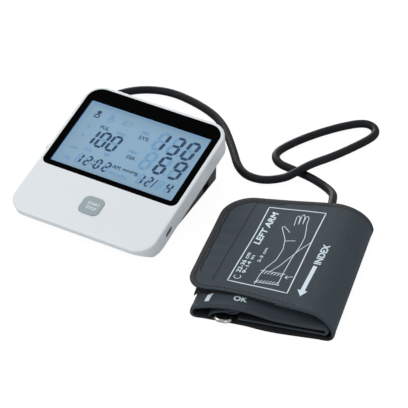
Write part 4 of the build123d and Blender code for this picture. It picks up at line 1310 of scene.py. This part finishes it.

# Painted shadow in the crease just inside the binding, down the flap's left side and along its far
# side: a thin ribbon in the black lining
SEAM_SHADOW_INSET = 7.4
SEAM_SHADOW_WIDTH = 1.2
seam_shadow_line = []
for index in range(len(rim_near) + 1, len(rim_near) + len(rim_end) + 30):
    wander = 0.45 * math.sin(index / 2.3) + 0.3 * math.sin(index / 0.9)
    seam_shadow_line.append(tuple(rim_inner(index, SEAM_SHADOW_INSET + wander)))
flap_seam_shadow = ribbon(seam_shadow_line, SEAM_SHADOW_WIDTH)
lay_on_flap(flap_seam_shadow)
finished(flap_seam_shadow, "flap_seam_shadow", "cuff_lining", "flap")

# Marks on the layer below, seen past the flap's near edge
layer_marks = joined("layer_marks", [
    word("OK", 36.8, 10.0, 49.2, 16.4, 0.5, 0.3),
    ribbon([(13.0, 5.0), (13.2, 9), (13.8, 13), (14.8, 17), (16.2, 21)], 4.0),
])
for vertex in layer_marks.data.vertices:
    u, v = vertex.co.x, vertex.co.y
    height = upper_height(u - SKEW * v, v) + CLOTH / 2 + PRINT_LIFT + vertex.co.z
    vertex.co = cuff_point(u, v, height)
thickened(layer_marks, PRINT_WALL)
finished(layer_marks, "layer_marks", "print_white", "air_line")

# Stitches, in millimetres
STITCH_RADIUS = 0.6
STITCH_LENGTH = 2.0
STITCH_PITCH = 3.4
STITCH_RISE = BINDING_CLOTH / 2 + 0.02
STITCH_INSET = 4.0


def stitch_row(places):
    """A row of short stitches: one is modelled and the rest are copies of it."""
    bpy.ops.object.select_all(action="DESELECT")
    bpy.ops.mesh.primitive_cylinder_add(
        vertices=6, radius=STITCH_RADIUS * MM, depth=STITCH_LENGTH * MM
    )
    first = bpy.context.object
    bpy.ops.object.mode_set(mode="EDIT")
    bpy.ops.mesh.select_all(action="SELECT")
    bpy.ops.mesh.bevel(offset=0.18 * MM, segments=1)
    bpy.ops.object.mode_set(mode="OBJECT")
    copies = []
    for point, run in places:
        turned = Vector((0, 0, 1)).rotation_difference(run).to_matrix().to_4x4()
        copies.append(copied(first, Matrix.Translation(point) @ turned))
    bpy.data.objects.remove(first)
    return joined("stitches", copies)


def spaced(path):
    """Places and directions along a line of points, one for every stitch."""
    lengths = walked(path)
    found = []
    index = 0
    at = STITCH_PITCH / 2
    while at < lengths[-1]:
        while lengths[index + 1] < at:
            index += 1
        share = (at - lengths[index]) / (lengths[index + 1] - lengths[index])
        start, end = Vector(path[index]), Vector(path[index + 1])
        found.append((start.lerp(end, share), (end - start).normalized()))
        at += STITCH_PITCH
    return found


def laid_stitches(path, lay):
    """Stitches along a line (u, v), each laid in the room by lay(u, v)."""
    places = []
    for place, run in spaced(path):
        here, there = lay(*place), lay(*(place + run))
        places.append((here, (there - here).normalized()))
    return stitch_row(places)


rim_stitches = laid_stitches(
    [tuple(rim_inner(index, STITCH_INSET)) for index in range(3, len(rim_flat) - 3)],
    lambda u, v: flap_point(u, v, STITCH_RISE),
)
seam_stitches = laid_stitches(
    line_points((28.1, 146.8), (12.2, 28.5), 20), lambda u, v: flap_point(u, v, CLOTH / 2)
)
flap_stitching = joined("flap_stitching", [rim_stitches, seam_stitches])
finished(flap_stitching, "flap_stitching", "thread", "flap")

layer_stitching = laid_stitches(
    [(u, 2.0) for u in range(6, 119, 4)],
    lambda u, v: cuff_point(u, v, upper_height(u - SKEW * v, v) + STITCH_RISE),
)
finished(layer_stitching, "layer_stitching", "thread", "air_line")


# Table, lights and background
def table_material():
    """Pale table that looks white to the camera and still takes a soft shadow."""
    material, shader = new_material("table_top", 0.9)
    shader.inputs["Base Color"].default_value = (0.62, 0.62, 0.62, 1)
    shader.inputs["Specular IOR Level"].default_value = 0.0
    tree = material.node_tree
    glow = tree.nodes.new("ShaderNodeEmission")
    glow.inputs["Color"].default_value = (1, 1, 1, 1)
    glow.inputs["Strength"].default_value = 1.12
    rays = tree.nodes.new("ShaderNodeLightPath")
    both = tree.nodes.new("ShaderNodeMixShader")
    seen = calculated(tree, "MULTIPLY", rays.outputs["Is Camera Ray"], 0.84)
    tree.links.new(seen, both.inputs["Fac"])
    tree.links.new(shader.outputs["BSDF"], both.inputs[1])
    tree.links.new(glow.outputs["Emission"], both.inputs[2])
    tree.links.new(both.outputs["Shader"], tree.nodes["Material Output"].inputs["Surface"])
    return material


bpy.ops.mesh.primitive_plane_add(size=8)
table_top = bpy.context.object
table_top.name = "table_top"
table_top.data.materials.append(table_material())

world = bpy.data.worlds.new("room")
bpy.context.scene.world = world
world.use_nodes = True
world.node_tree.nodes["Background"].inputs["Color"].default_value = (0.95, 0.985, 1.03, 1)
world.node_tree.nodes["Background"].inputs["Strength"].default_value = 0.58


def area_light(name, place, aim, size, power, colour=(1, 1, 1)):
    """A soft square light that looks at a point."""
    bpy.ops.object.light_add(type="AREA", location=place)
    lamp = bpy.context.object
    lamp.name = name
    lamp.data.size = size
    lamp.data.energy = power
    lamp.data.color = colour
    lamp.rotation_euler = (Vector(aim) - Vector(place)).to_track_quat("-Z", "Y").to_euler()


area_light("key", (-0.8, -0.7, 1.5), (0.05, 0, 0), 1.0, 12)
area_light("fill", (0.9, 1.2, 1.1), (0.05, 0, 0), 0.9, 2)
area_light("front", (1.0, -1.4, 0.35), (0.0, 0, 0.03), 0.9, 5.3, (0.9, 0.97, 1.09))
area_light("rim", (-0.9, 1.1, 0.3), (0.0, 0, 0.03), 0.7, 15)

bpy.context.scene.view_settings.view_transform = "Standard"
